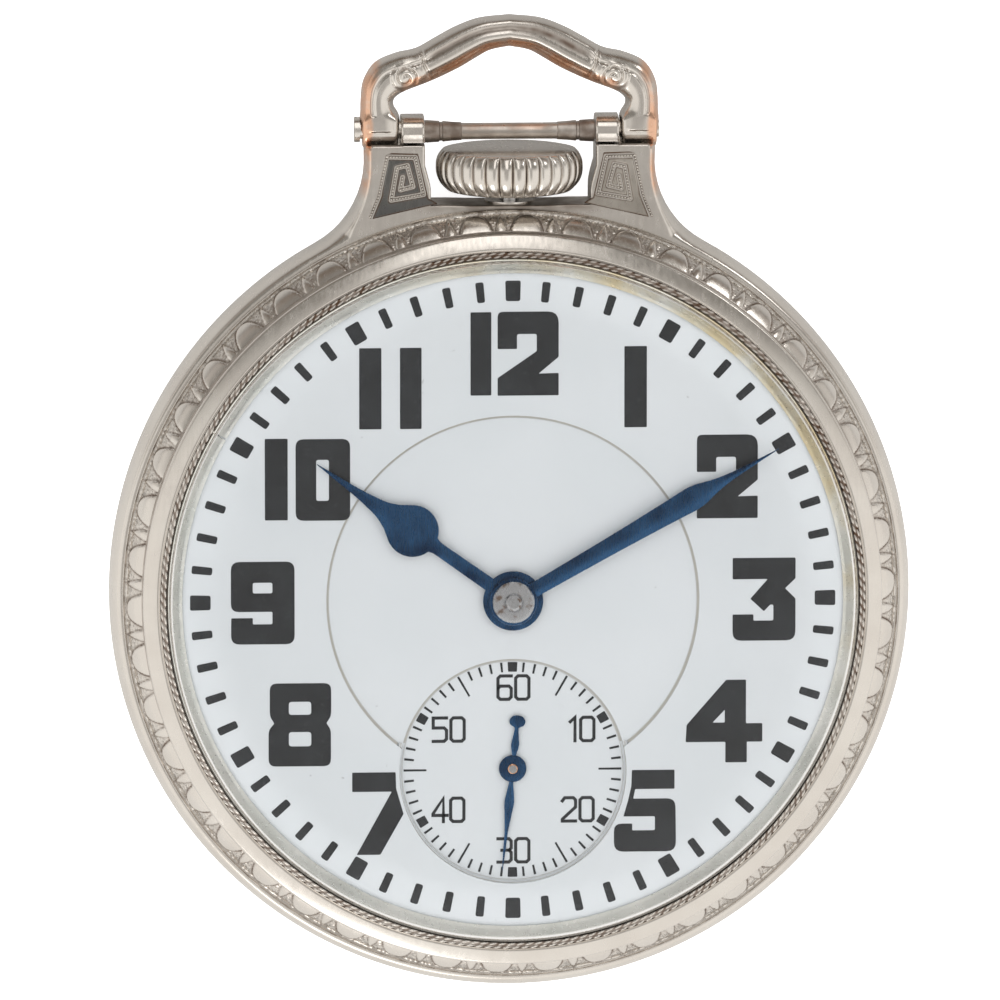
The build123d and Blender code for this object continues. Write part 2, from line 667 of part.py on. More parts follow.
def click_spring():
    """A bent wire that presses the click to the wheel, with its foot and the click's post."""
    x, y = CLICK_PIVOT
    middle = ThreePointArc((x + 1.3, y - 2.6), (x + 2.2, y - 0.4), (x + 1.05, y + 1.1))
    low, high = WINDING_LOW_Z, WINDING_TOP_Z - 0.1
    wire = Pos(0, 0, low) * extrude(trace(middle, 0.22), high - low, dir=(0, 0, 1))
    foot = disc(0.5, low, WINDING_TOP_Z + 0.05, (x + 1.3, y - 2.8))
    post = disc(0.36, low - 0.05, WINDING_TOP_Z + 0.05, CLICK_PIVOT)
    return [wire + foot, post]


# ---- mainspring barrel ------------------------------------------------------------------------


def mainspring_barrel():
    great_wheel = toothed(
        BARREL_TEETH, BARREL_MODULE, GREAT_LOW_Z, GREAT_TOP_Z, BARREL, BARREL_BEARING + 180
    )
    drum = great_wheel + tube(DRUM_RADIUS, DRUM_RADIUS - 0.4, DRUM_LOW_Z, GREAT_LOW_Z, BARREL)
    return drum - disc(0.85, DRUM_LOW_Z, GREAT_TOP_Z, BARREL)


def barrel_cover():
    return tube(DRUM_RADIUS - 0.4, 0.85, DRUM_LOW_Z, DRUM_LOW_Z + 0.25, BARREL)


def barrel_arbor():
    x, y = BARREL
    body = arbor(
        BARREL,
        (
            (0.8, WINDING_TOP_Z, DRUM_LOW_Z + 0.3),
            (1.7, DRUM_LOW_Z + 0.3, GREAT_LOW_Z - 0.05),
            (0.8, GREAT_LOW_Z - 0.05, PLATE_LOW_Z + 0.8),
        ),
    )
    return body + block(
        (x - ARBOR_SQUARE, x + ARBOR_SQUARE),
        (y - ARBOR_SQUARE, y + ARBOR_SQUARE),
        (WINDING_LOW_Z, WINDING_TOP_Z),
    )


def mainspring():
    """The wound mainspring, coiled clear of the arbor and the drum."""
    return spiral(1.95, 0.42, 20, 0.16, DRUM_LOW_Z + 0.35, GREAT_LOW_Z - 0.1, BARREL)


# ---- going train ------------------------------------------------------------------------------
def centre_wheel():
    low, high = 5.2, 5.5
    wheel = toothed(
        CENTRE_TEETH, CENTRE_MODULE, low, high, CENTRE, bearing_to(CENTRE, THIRD)
    )
    wheel -= crossings(5.5, 1.7, 5, 0.7, low, high, CENTRE)
    return wheel - disc(0.5, low, high)


def centre_pinion():
    """The centre arbor with its pinion; its thin top end shows in the middle of the hands."""
    pinion = toothed(
        CENTRE_PINION_TEETH, BARREL_MODULE, 4.5, 5.1, CENTRE, gap_angle(CENTRE, BARREL, 12)
    )
    shaft = arbor(
        CENTRE,
        ((0.3, 1.9, 2.7), (0.5, 2.7, 6.9), (0.34, 6.9, CANNON_TOP_Z + 0.1)),
    )
    return pinion + shaft


def third_wheel():
    low, high = 4.5, 4.75
    wheel = toothed(THIRD_TEETH, THIRD_MODULE, low, high, THIRD, bearing_to(THIRD, FOURTH))
    wheel -= crossings(4.5, 1.3, 5, 0.55, low, high, THIRD)
    return wheel - disc(0.4, low, high, THIRD)


def third_pinion():
    pinion = toothed(
        THIRD_PINION_TEETH, CENTRE_MODULE, 5.05, 5.7, THIRD, gap_angle(THIRD, CENTRE, 10)
    )
    return pinion + arbor(THIRD, ((0.18, 2.1, 2.75), (0.4, 2.75, 5.75), (0.18, 5.75, 6.4)))


def fourth_wheel():
    low, high = 3.7, 3.95
    wheel = toothed(FOURTH_TEETH, FOURTH_MODULE, low, high, FOURTH, bearing_to(FOURTH, ESCAPE))
    wheel -= crossings(4.2, 1.2, 5, 0.5, low, high, FOURTH)
    return wheel - disc(0.4, low, high, FOURTH)


def fourth_pinion():
    """The fourth arbor with its pinion; its long end carries the seconds hand."""
    pinion = toothed(
        FOURTH_PINION_TEETH, THIRD_MODULE, 4.3, 5.0, FOURTH, gap_angle(FOURTH, THIRD, 10)
    )
    return pinion + arbor(
        FOURTH, ((0.18, 2.1, 2.75), (0.4, 2.75, 5.75), (0.25, 5.75, SECONDS_HAND_Z + 0.35))
    )


def escape_wheel():
    low, high = 4.4, 4.65
    hub = tube(0.8, 0.35, low, high, ESCAPE)
    rim = tube(2.75, 2.3, low, high, ESCAPE)
    wheel = hub + rim
    for arm in range(4):
        start = polar(0.7, 90 * arm, ESCAPE)
        wheel += bar_between(start, polar(2.4, 90 * arm, ESCAPE), 0.4, low, high)
    for tooth in range(ESCAPE_TEETH):
        angle = tooth * 360 / ESCAPE_TEETH
        outline = (
            polar(2.65, angle - 7, ESCAPE),
            polar(ESCAPE_RADIUS - 0.2, angle + 7, ESCAPE),
            polar(ESCAPE_RADIUS, angle + 12, ESCAPE),
            polar(ESCAPE_RADIUS, angle + 14, ESCAPE),
            polar(ESCAPE_RADIUS - 0.3, angle + 12, ESCAPE),
            polar(2.65, angle + 3, ESCAPE),
        )
        wheel += slab(outline, low, high)
    return wheel


def escape_pinion():
    pinion = toothed(
        ESCAPE_PINION_TEETH, FOURTH_MODULE, 3.5, 4.1, ESCAPE, gap_angle(ESCAPE, FOURTH, 8)
    )
    return pinion + arbor(ESCAPE, ((0.15, 2.1, 2.75), (0.33, 2.75, 5.75), (0.15, 5.75, 6.4)))


# ---- motion work ------------------------------------------------------------------------------


def cannon_pinion():
    """The cannon pinion on the centre arbor, with the tube that carries the minute hand."""
    pinion = toothed(
        CANNON_TEETH, CANNON_MODULE, 7.1, 7.55, CENTRE, gap_angle(CENTRE, MINUTE_WHEEL, 12)
    )
    shoulder = MINUTE_HAND_Z - 0.1
    pipe = arbor(CENTRE, ((0.9, 7.1, shoulder), (0.56, shoulder, CANNON_TOP_Z)))
    return pinion + pipe - disc(0.34, 7.1, CANNON_TOP_Z)


def minute_wheel():
    """The minute wheel with its pinion, one piece on a stud in the plate."""
    wheel = toothed(MINUTE_WHEEL_TEETH, CANNON_MODULE, 7.15, 7.45, MINUTE_WHEEL, -90)
    pinion = toothed(
        MINUTE_PINION_TEETH, HOUR_MODULE, 7.45, 8.22, MINUTE_WHEEL, gap_angle(MINUTE_WHEEL, CENTRE, 12)
    )
    return wheel + pinion - disc(0.35, 7.15, 8.22, MINUTE_WHEEL)


def hour_wheel():
    """The hour wheel and its pipe, which turns on the cannon pinion and carries the hour hand."""
    wheel = toothed(HOUR_TEETH, HOUR_MODULE, 7.95, 8.2, CENTRE, 90)
    pipe = disc(1.3, 8.2, HOUR_HAND_Z + 0.2)
    return wheel + pipe - disc(0.9 + RUNNING, 7.95, HOUR_HAND_Z + 0.2)


# ---- escapement and balance -------------------------------------------------------------------


def pallet_fork():
    """The lever: two arms to the pallet stones, and a fork that reaches the balance's roller."""
    low, high = LEVER_LOW_Z, LEVER_TOP_Z
    lever = disc(0.7, low, high, PALLETS)
    for bearing in STONE_BEARINGS:
        stone = polar(ESCAPE_RADIUS + STONE_GAP + 0.75, bearing, ESCAPE)
        lever += bar_between(PALLETS, stone, 0.5, low, high) + disc(0.42, low, high, stone)
    reach = math.dist(PALLETS, BALANCE) - IMPULSE_RADIUS + 0.25
    end = polar(reach, LEVER_BEARING, PALLETS)
    shoulder = polar(reach - 0.9, LEVER_BEARING, PALLETS)
    lever += bar_between(PALLETS, shoulder, 0.45, low, high)
    lever += bar_between(shoulder, end, 1.6, low, high)
    notch = polar(reach - 0.65, LEVER_BEARING, PALLETS)
    lever -= bar_between(notch, polar(reach + 1, LEVER_BEARING, PALLETS), 0.95, low, high)
    for stone in pallet_stones():
        lever -= stone
    return lever - disc(0.2, low, high, PALLETS)


def pallet_stones():
    """The two ruby pallet stones, set in the lever's arms."""
    stones = []
    for bearing in STONE_BEARINGS:
        inner = polar(ESCAPE_RADIUS + STONE_GAP, bearing, ESCAPE)
        outer = polar(ESCAPE_RADIUS + STONE_GAP + 0.85, bearing, ESCAPE)
        stones.append(bar_between(inner, outer, 0.3, LEVER_LOW_Z - 0.05, LEVER_TOP_Z + 0.05))
    return stones


def pallet_arbor():
    return arbor(PALLETS, ((0.12, 3.85, 4.3), (0.2, 4.3, 5.7), (0.12, 5.7, 6.4)))


def balance_wheel():
    """The cut bimetallic balance: two arms, and a rim cut beside each of them."""
    low, high = 2.9, 3.7
    wheel = tube(BALANCE_RADIUS, BALANCE_RADIUS - 0.55, low, high, BALANCE)
    for angle in (0, 180):
        start = polar(BALANCE_RADIUS - 0.8, angle + 14, BALANCE)
        wheel -= bar_between(start, polar(BALANCE_RADIUS + 0.5, angle + 14, BALANCE), 0.3, low, high)
        wheel += bar_between(BALANCE, polar(BALANCE_RADIUS - 0.3, angle, BALANCE), 1.0, 3.1, 3.5)
    wheel += disc(1.3, 3.1, 3.5, BALANCE)
    return wheel - disc(0.45, low, high, BALANCE)


def balance_screws():
    """The timing screws around the balance's rim."""
    screws = []
    for half in (0, 180):
        for step in range(7):
            angle = half + 26 + step * 22
            start = polar(BALANCE_RADIUS, angle, BALANCE)
            turn = Pos(start[0], start[1], 3.3) * Rot(0, 0, angle) * Rot(0, 90, 0)
            screws.append(turn * Cylinder(0.3, 0.45, align=(Align.CENTER, Align.CENTER, Align.MIN)))
    return screws


def balance_staff():
    """The balance staff, from the cock's jewel to the plate's, with the hairspring's collet."""
    return arbor(
        BALANCE, ((0.12, 1.65, 2.45), (0.55, 2.45, 2.85), (0.45, 2.85, 4.15), (0.12, 4.15, 6.4))
    )


def roller_table():
    """The double roller with its impulse pin, which the lever's fork takes."""
    roller = tube(1.3, 0.45, 3.8, 4.1, BALANCE)
    pin = polar(IMPULSE_RADIUS, LEVER_BEARING + 180, BALANCE)
    return roller + disc(0.12, 4.1, 4.65, pin)


def hairspring():
    """The flat hairspring, from the collet to the stud."""
    return spiral(0.85, 0.3, 16, 0.08, 2.5, 2.75, BALANCE)


def regulator():
    """The regulator: a ring about the balance's axis with a pointer over the cock."""
    low, high = COCK_LOW_Z - 0.3, COCK_LOW_Z
    ring = tube(1.7, 1.05, low, high, BALANCE)
    pointer_angle = bearing_to(BALANCE, COCK_SCREW)
    start = polar(1.5, pointer_angle, BALANCE)
    tip = polar(6.2, pointer_angle, BALANCE)
    return ring + bar_between(start, tip, 0.35, low, high)


# ---- plates and bridges -----------------------------------------------------------------------


def jewels():
    """The ruby bearings in the plate, the bridges and the balance cock."""
    rings = []
    for place, pivot in PLATE_JEWELS:
        low = PLATE_LOW_Z + 0.02
        rings.append(
            tube(JEWEL_RADIUS, pivot + PIVOT_CLEARANCE, low, low + JEWEL_THICKNESS, place)
        )
    for place, pivot in BRIDGE_JEWELS:
        low = BRIDGE_TOP_Z - 0.9
        rings.append(
            tube(JEWEL_RADIUS, pivot + PIVOT_CLEARANCE, low, low + JEWEL_THICKNESS, place)
        )
    cock_low = COCK_LOW_Z + 0.25
    rings.append(tube(JEWEL_RADIUS, 0.15, cock_low, cock_low + JEWEL_THICKNESS, BALANCE))
    rings.append(tube(0.5, 0.15, PALLET_BRIDGE_LOW_Z, PALLET_BRIDGE_TOP_Z, PALLETS))
    return rings


def pallet_bridge():
    """The small bridge over the lever, on two feet either side of the lever's long arm."""
    low, high = PALLET_BRIDGE_LOW_Z, PALLET_BRIDGE_TOP_Z
    bridge = disc(0.9, low, high, PALLETS)
    for turn in (-65, 65):
        end = polar(PALLET_BRIDGE_REACH, LEVER_BEARING + turn, PALLETS)
        bridge += bar_between(PALLETS, end, 1.4, low, high)
        bridge += disc(0.7, low, PLATE_LOW_Z, end)
    return bridge - disc(0.5, low, high, PALLETS)


def screw_place(bearing):
    return polar(20.3, bearing)


def pillar_plate():
    """The pillar plate that carries the whole movement, recessed for the motion work."""
    plate = disc(LEDGE_RADIUS - 0.1, PLATE_LOW_Z, LEDGE_Z) + disc(PLATE_RADIUS, LEDGE_Z, PLATE_TOP_Z)
    plate -= disc(4.6, 7.0, PLATE_TOP_Z)
    plate -= disc(4.1, 7.0, PLATE_TOP_Z, MINUTE_WHEEL)
    plate += disc(0.32, 6.9, 8.15, MINUTE_WHEEL)
    plate -= block((-2.6, 2.6), (15.3, 17.6), (PLATE_LOW_Z, 7.5))
    plate -= block((-1.4, 1.4), (14.2, 15.3), (PLATE_LOW_Z, 6.2))
    for place, _ in PLATE_JEWELS:
        plate -= disc(JEWEL_RADIUS, PLATE_LOW_Z, PLATE_TOP_Z, place)
    plate -= disc(0.8 + PIVOT_CLEARANCE, PLATE_LOW_Z, PLATE_LOW_Z + 0.9, BARREL)
    for bearing in BARREL_BRIDGE_SCREWS + TRAIN_BRIDGE_SCREWS:
        plate -= disc(BRIDGE_SCREW_RADIUS, PLATE_LOW_Z, BRIDGE_SCREW_TOP_Z, screw_place(bearing))
    plate -= disc(BRIDGE_SCREW_RADIUS, PLATE_LOW_Z, BRIDGE_SCREW_TOP_Z, COCK_SCREW)
    for bearing in CASE_SCREW_BEARINGS:
        place = polar(CASE_SCREW_RADIUS_FROM_AXIS, bearing)
        plate -= disc(0.3, PLATE_LOW_Z, BRIDGE_SCREW_TOP_Z, place)
    for place in DIAL_FEET:
        plate -= disc(0.5, 6.4, PLATE_TOP_Z, place)
    plate -= disc(0.5, 7.3, PLATE_TOP_Z, SETTING_LEVER_PIVOT)
    return plate


def bridge_disc():
    """The round of the bridges with the foot that stands on the plate all round."""
    top = disc(BRIDGE_RADIUS, BRIDGE_LOW_Z, BRIDGE_TOP_Z)
    foot = tube(BRIDGE_RADIUS, FOOT_INNER_RADIUS, BRIDGE_TOP_Z, PLATE_LOW_Z)
    bridge = top + foot
    bridge -= disc(BALANCE_RADIUS + 1.0, BRIDGE_LOW_Z, PLATE_LOW_Z, BALANCE)
    for bearing in CASE_SCREW_BEARINGS:
        place = polar(CASE_SCREW_RADIUS_FROM_AXIS, bearing)
        bridge -= disc(CASE_SCREW_HEAD_RADIUS + 0.2, BRIDGE_LOW_Z, PLATE_LOW_Z, place)
    return bridge


def barrel_bridge():
    """The bridge over the barrel, with the winding wheels let into its back."""
    low, top = BRIDGE_LOW_Z, BRIDGE_TOP_Z
    bridge = bridge_disc() & block((-30, 30), (BRIDGE_SPLIT_Y + 0.15, 30), (low, PLATE_LOW_Z))
    bridge -= block((-3.2, 3.2), (17.0, 30), (low, PLATE_LOW_Z))
    pocket = WINDING_TOP_Z + 0.05
    bridge -= disc(RATCHET_TEETH * WINDING_MODULE / 2 + 0.4, low, pocket, BARREL)
    bridge -= disc(CROWN_WHEEL_TEETH * WINDING_MODULE / 2 + 0.4, low, pocket, CROWN_WHEEL)
    x, y = CLICK_PIVOT
    bridge -= block((x - 2.6, x + 2.8), (y - 3.8, y + 1.6), (low, pocket))
    bridge -= block((-2.7, 2.7), (15.3, 17.1), (low, top))
    bridge -= disc(0.8 + PIVOT_CLEARANCE, low, top, BARREL)
    for bearing in BARREL_BRIDGE_SCREWS:
        bridge -= disc(BRIDGE_SCREW_RADIUS, low, PLATE_LOW_Z, screw_place(bearing))
    return bridge


def train_bridge():
    """The bridge over the centre, third, fourth and escape wheels."""
    low, top = BRIDGE_LOW_Z, BRIDGE_TOP_Z
    bridge = bridge_disc() & block((-30, 30), (-30, BRIDGE_SPLIT_Y - 0.15), (low, PLATE_LOW_Z))
    bridge -= block((-30, -7.0), (-30, BALANCE[1]), (low, PLATE_LOW_Z))
    bridge -= block((-30, BALANCE[0]), (-30, 30), (low, PLATE_LOW_Z))
    for place, _ in BRIDGE_JEWELS:
        bridge -= disc(JEWEL_RADIUS, low, top, place)
    for bearing in TRAIN_BRIDGE_SCREWS:
        bridge -= disc(BRIDGE_SCREW_RADIUS, low, PLATE_LOW_Z, screw_place(bearing))
    return bridge


def balance_cock():
    """The cock: a foot beside the train bridge, and an arm over the balance to its upper jewel."""
    foot = disc(BRIDGE_RADIUS, COCK_LOW_Z, PLATE_LOW_Z)
    foot &= block((-14.5, -7.3), (-30, -12.4), (COCK_LOW_Z, PLATE_LOW_Z))
    arm_start = (COCK_SCREW[0], COCK_SCREW[1] + 1)
    cock = foot + bar_between(arm_start, BALANCE, 3.4, COCK_LOW_Z, COCK_TOP_Z)
    cock += disc(2.3, COCK_LOW_Z, COCK_TOP_Z, BALANCE)
    cock -= disc(JEWEL_RADIUS, COCK_LOW_Z, COCK_TOP_Z, BALANCE)
    return cock - disc(BRIDGE_SCREW_RADIUS, COCK_LOW_Z, PLATE_LOW_Z, COCK_SCREW)


def bridge_screws():
    """The blued screws that hold the bridges and the cock."""
    screws = []
    for bearing in BARREL_BRIDGE_SCREWS + TRAIN_BRIDGE_SCREWS:
        place = screw_place(bearing)
        head = slotted_head(0.68, BRIDGE_LOW_Z - 0.35, BRIDGE_LOW_Z, place)
        screws.append(head + disc(BRIDGE_SCREW_RADIUS, BRIDGE_LOW_Z, BRIDGE_SCREW_TOP_Z, place))
    head = slotted_head(1.2, COCK_LOW_Z - 0.35, COCK_LOW_Z, COCK_SCREW)
    screws.append(head + disc(BRIDGE_SCREW_RADIUS, COCK_LOW_Z, BRIDGE_SCREW_TOP_Z, COCK_SCREW))
    return screws


def case_screws():
    """The two screws whose wide heads hold the movement in the band."""
    screws = []
    for bearing in CASE_SCREW_BEARINGS:
        place = polar(CASE_SCREW_RADIUS_FROM_AXIS, bearing)
        head = slotted_head(CASE_SCREW_HEAD_RADIUS, CASE_SCREW_HEAD_Z - 0.4, CASE_SCREW_HEAD_Z, place)
        screws.append(head + disc(0.3, CASE_SCREW_HEAD_Z, BRIDGE_SCREW_TOP_Z, place))
    return screws


def setting_lever():
    """The lever that puts the stem into hand setting, under the dial's edge by 1 o'clock."""
    low, high = PLATE_TOP_Z + 0.05, PLATE_TOP_Z + 0.35
    lever = bar_between(SETTING_LEVER_PIVOT, polar(20.3, 38), 0.9, low, high)
    lever += disc(0.9, low, high, SETTING_LEVER_PIVOT)
    lever += bar_between(polar(20.0, 38), polar(20.9, 33), 0.8, low, high)
    return lever + disc(0.5 - PIVOT_CLEARANCE, 7.35, low, SETTING_LEVER_PIVOT)


# ---- dial -------------------------------------------------------------------------------------


def dial_outer():
    """The dial's ring, with the openings for the two sunk discs."""
    ring = tube(DIAL_RADIUS, CENTRE_DISC_RADIUS, DIAL_LOW_Z, DIAL_TOP_Z)
    return ring - disc(SECONDS_DIAL_RADIUS, DIAL_LOW_Z, DIAL_TOP_Z, SECONDS_DIAL)


def dial_centre():
    """The sunk middle disc, soldered under the ring."""
    low = DIAL_LOW_Z - 0.2
    shape = disc(CENTRE_DISC_RADIUS + 0.5, low, DIAL_LOW_Z)
    shape += disc(CENTRE_DISC_RADIUS - 0.03, DIAL_LOW_Z, CENTRE_DISC_Z)
    shape -= disc(SECONDS_DIAL_RADIUS, low, DIAL_TOP_Z, SECONDS_DIAL)
    return shape - disc(1.5, low, DIAL_TOP_Z)


def dial_seconds():
    """The sunk seconds dial, soldered under the other two."""
    low = DIAL_LOW_Z - 0.45
    shape = disc(SECONDS_DIAL_RADIUS + 0.5, low, DIAL_LOW_Z - 0.2, SECONDS_DIAL)
    shape += disc(SECONDS_DIAL_RADIUS - 0.03, DIAL_LOW_Z - 0.2, SECONDS_DIAL_Z, SECONDS_DIAL)
    return shape - disc(0.55, low, SECONDS_DIAL_Z, FOURTH)


def dial_feet():
    """The three copper feet under the dial, held in the plate."""
    return [disc(0.5, 6.4, DIAL_LOW_Z, place) for place in DIAL_FEET]


# ---- hands ------------------------------------------------------------------------------------
def hour_hand():
    """The spade hand."""
    low, high = HOUR_HAND_Z, HOUR_HAND_Z + 0.15
    blade = disc(1.9, low, high) + disc(1.65, low, high, (0, 7.8))
    blade += slab(((-0.45, 1.0), (0.45, 1.0), (0.4, 7.0), (-0.4, 7.0)), low, high)
    half = ((1.5, 8.5), (0.95, 9.9), (0.45, 11.1), (0.22, 12.6), (0.06, 15.2))
    other = tuple((-x, y) for x, y in reversed(half))
    blade += slab(half + other, low, high)
    return hand_frame(HOUR_ANGLE) * (blade - disc(1.3, low, high))


def minute_hand():
    """The long bar hand, widening to a point near the minute track."""
    low, high = MINUTE_HAND_Z, MINUTE_HAND_Z + 0.2
    half = ((0.48, 1.0), (0.62, 9.0), (0.75, 13.3), (0.3, 16.5), (0.06, 19.35))
    other = tuple((-x, y) for x, y in reversed(half))
    blade = disc(1.45, low, high) + slab(half + other, low, high)
    return hand_frame(MINUTE_ANGLE) * (blade - disc(1.25, low, high))


def minute_hand_boss():
    """The polished bush in the minute hand, pressed on the cannon pinion."""
    low, high = MINUTE_HAND_Z - 0.05, MINUTE_HAND_Z + 0.45
    return tube(1.25, 0.56, low, high)


def seconds_hand():
    """The seconds hand with its tail, on the fourth arbor."""
    low, high = SECONDS_HAND_Z, SECONDS_HAND_Z + 0.12
    blade = disc(0.86, low, high + 0.1) + disc(0.52, low, high, (0, -3.0))
    front = ((0.12, 0.5), (0.3, 2.6), (0.14, 4.4), (0.05, 6.5))
    tail = ((0.05, -2.8), (0.3, -1.6), (0.12, -0.5))
    for half in (front, tail):
        other = tuple((-x, y) for x, y in reversed(half))
        blade += slab(half + other, low, high)
    return hand_frame(SECONDS_ANGLE, FOURTH) * (blade - disc(0.25, low, high + 0.1))


NODES = (
    case_band,
    pendant_sleeve,
    pendant_bar,
    bow,
    bow_screws,
    back_cover,
    bezel,
    reflector_ring,
    crystal,
    crown,
    stem,
    winding_pinion,
    clutch,
    crown_wheel,
    crown_wheel_core,
    ratchet_wheel,
    ratchet_screw,
    click,
    click_spring,
    mainspring_barrel,
    barrel_cover,
    barrel_arbor,
    mainspring,
    centre_wheel,
    centre_pinion,
    third_wheel,
    third_pinion,
    fourth_wheel,
    fourth_pinion,
    escape_wheel,
    escape_pinion,
    cannon_pinion,
    minute_wheel,
    hour_wheel,
    pallet_fork,
    pallet_stones,
    pallet_arbor,
    balance_wheel,
    balance_screws,
    balance_staff,
    roller_table,
    hairspring,
    regulator,
    jewels,
    pallet_bridge,
    pillar_plate,
    barrel_bridge,
    train_bridge,
    balance_cock,
    bridge_screws,
    case_screws,
    setting_lever,
    dial_outer,
    dial_centre,
    dial_seconds,
    dial_feet,
    hour_hand,
    minute_hand,
    minute_hand_boss,
    seconds_hand,
)

os.makedirs("parts", exist_ok=True)
for make in NODES:
    shape = make()
    if isinstance(shape, list):
        shape = Compound(children=[solid for piece in shape for solid in piece.solids()])
    export_step(shape, f"parts/{make.__name__}.step")
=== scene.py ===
import json
import math

import bpy
import numpy as np
from mathutils import Matrix, Vector


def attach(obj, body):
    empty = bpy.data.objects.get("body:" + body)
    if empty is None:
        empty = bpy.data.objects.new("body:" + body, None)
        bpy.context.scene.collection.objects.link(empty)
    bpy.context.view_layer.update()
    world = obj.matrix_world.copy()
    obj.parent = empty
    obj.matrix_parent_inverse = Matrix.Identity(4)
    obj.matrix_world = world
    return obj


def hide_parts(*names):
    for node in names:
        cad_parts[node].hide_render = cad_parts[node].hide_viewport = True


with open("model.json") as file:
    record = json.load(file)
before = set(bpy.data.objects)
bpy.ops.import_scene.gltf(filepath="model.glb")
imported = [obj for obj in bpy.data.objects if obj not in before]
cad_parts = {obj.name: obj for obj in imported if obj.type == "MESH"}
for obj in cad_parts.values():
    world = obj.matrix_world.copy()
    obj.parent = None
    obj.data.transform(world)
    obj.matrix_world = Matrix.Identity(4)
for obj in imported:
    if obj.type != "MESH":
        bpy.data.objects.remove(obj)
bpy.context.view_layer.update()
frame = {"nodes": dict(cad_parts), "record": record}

MM = 0.001
RNG = np.random.default_rng(16)

# ---- sizes of the case, in millimetres, in the frame of the CAD -------------------------------
CASE_MID_Z = 4.9
CASE_RADIUS = 25.395
BELLY_UP = 1.95  # from the widest line of the case up to the bezel
BELLY_DOWN = 1.85
BELLY_IN = 0.72  # how far the belly draws in at the bezel
COLLAR_RADIUS = 23.2
SCALLOPS = 46
FIRST_SCALLOP = 2.3  # degrees clockwise from 12
MILL_BEADS = 240

NECK_Y = 24.85
SHOULDER = (9.3, 28.65)
SHOULDER_FOOT = 61.0  # where the flare leaves the round of the case, in degrees from 3 o'clock
RIDGE = ((8.78, 28.65), (8.82, 26.6), (9.15, 25.0), (9.8, 23.3))
LUG_INNER_X = 5.4
LUG_OUTER_X = 6.9
LUG_TOP_Y = 30.4
LUG_HALF = 1.5
BAND_GAP = 31.0  # degrees each side of 12 that belong to the neck
PIVOT_Y = 29.45
PIVOT_RADIUS = 1.45
BOW_HALF = 1.3
BOW_INNER_X = 6.97
BAR_Y = 29.3
SADDLE = ((2.8, 0.02), (3.9, 0.22), (4.9, 1.0), (5.4, 2.5))  # (x, height over NECK_Y) beside the crown

CROWN_LOW_Y = 25.45
CROWN_HIGH_Y = 28.3
CROWN_RADIUS = 4.65
CROWN_RIBS = 32

DIAL_Z = 9.4
SECONDS_Z = 8.85
PRINT_HEIGHT = 0.016
SECONDS_CENTRE = (0.0, -10.95)

HOUR_AT = 305.5  # degrees clockwise from 12
MINUTE_AT = 60.1
SECONDS_AT = 185.7
SECONDS_PIVOT = (0.0, -10.85)
TIP_HALF = 0.012


# ---- mesh helpers -----------------------------------------------------------------------------
def add_mesh(name, points, faces, smooth=True):
    """A mesh object from points in millimetres and faces that all have the same count of corners."""
    points = np.asarray(points, float)
    faces = np.asarray(faces, int)
    mesh = bpy.data.meshes.new(name)
    mesh.vertices.add(len(points))
    mesh.vertices.foreach_set("co", (points * MM).ravel())
    mesh.loops.add(faces.size)
    mesh.loops.foreach_set("vertex_index", faces.ravel())
    mesh.polygons.add(len(faces))
    mesh.polygons.foreach_set("loop_start", np.arange(0, faces.size, faces.shape[1]))
    mesh.update(calc_edges=True)
    mesh.polygons.foreach_set("use_smooth", np.full(len(faces), smooth))
    piece = bpy.data.objects.new(name, mesh)
    bpy.context.scene.collection.objects.link(piece)
    return piece


def sharpen(piece, degrees):
    """Splits the smooth shading where two faces meet at more than this angle."""
    piece.data.set_sharp_from_angle(angle=math.radians(degrees))


def paint(piece, name, values):
    """A number for each point, which the materials read."""
    layer = piece.data.attributes.new(name, "FLOAT", "POINT")
    layer.data.foreach_set("value", np.asarray(values, np.float32).ravel())


def finish_piece(piece, body, material, nodes=()):
    piece.data.materials.append(material)
    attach(piece, body)
    if nodes:
        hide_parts(*nodes)
    return piece


def grid_faces(rows, columns, rows_wrap=True, columns_wrap=True):
    """Quads of a grid of points, numbered row by row."""
    row = np.arange(rows if rows_wrap else rows - 1)
    column = np.arange(columns if columns_wrap else columns - 1)
    r, c = np.meshgrid(row, column, indexing="ij")
    r, c = r.ravel(), c.ravel()
    up, on = (r + 1) % rows, (c + 1) % columns
    return np.stack([r * columns + c, up * columns + c, up * columns + on, r * columns + on], 1)


def clockwise(angle):
    """Sine and cosine for angles in degrees clockwise from 12."""
    return np.sin(np.radians(angle)), np.cos(np.radians(angle))


def revolve(name, profile, steps, relief=None, centre=(0.0, 0.0)):
    """A closed profile of (radius, z) turned about an upright axis. relief(angle, index) lifts the points."""
    profile = np.asarray(profile, float)
    angle = np.arange(steps) * 360 / steps
    ahead = np.roll(profile, -1, 0) - np.roll(profile, 1, 0)
    ahead /= np.maximum(np.linalg.norm(ahead, axis=1, keepdims=True), 1e-9)
    normal = np.stack([ahead[:, 1], -ahead[:, 0]], 1)
    around, along = np.meshgrid(angle, np.arange(len(profile)), indexing="ij")
    lift = relief(around, along) if relief else np.zeros(around.shape)
    radius = profile[along, 0] + lift * normal[along, 0]
    height = profile[along, 1] + lift * normal[along, 1]
    s, c = clockwise(around)
    points = np.stack([centre[0] + radius * s, centre[1] + radius * c, height], -1).reshape(-1, 3)
    return add_mesh(name, points, grid_faces(steps, len(profile))[:, ::-1]), lift.ravel()


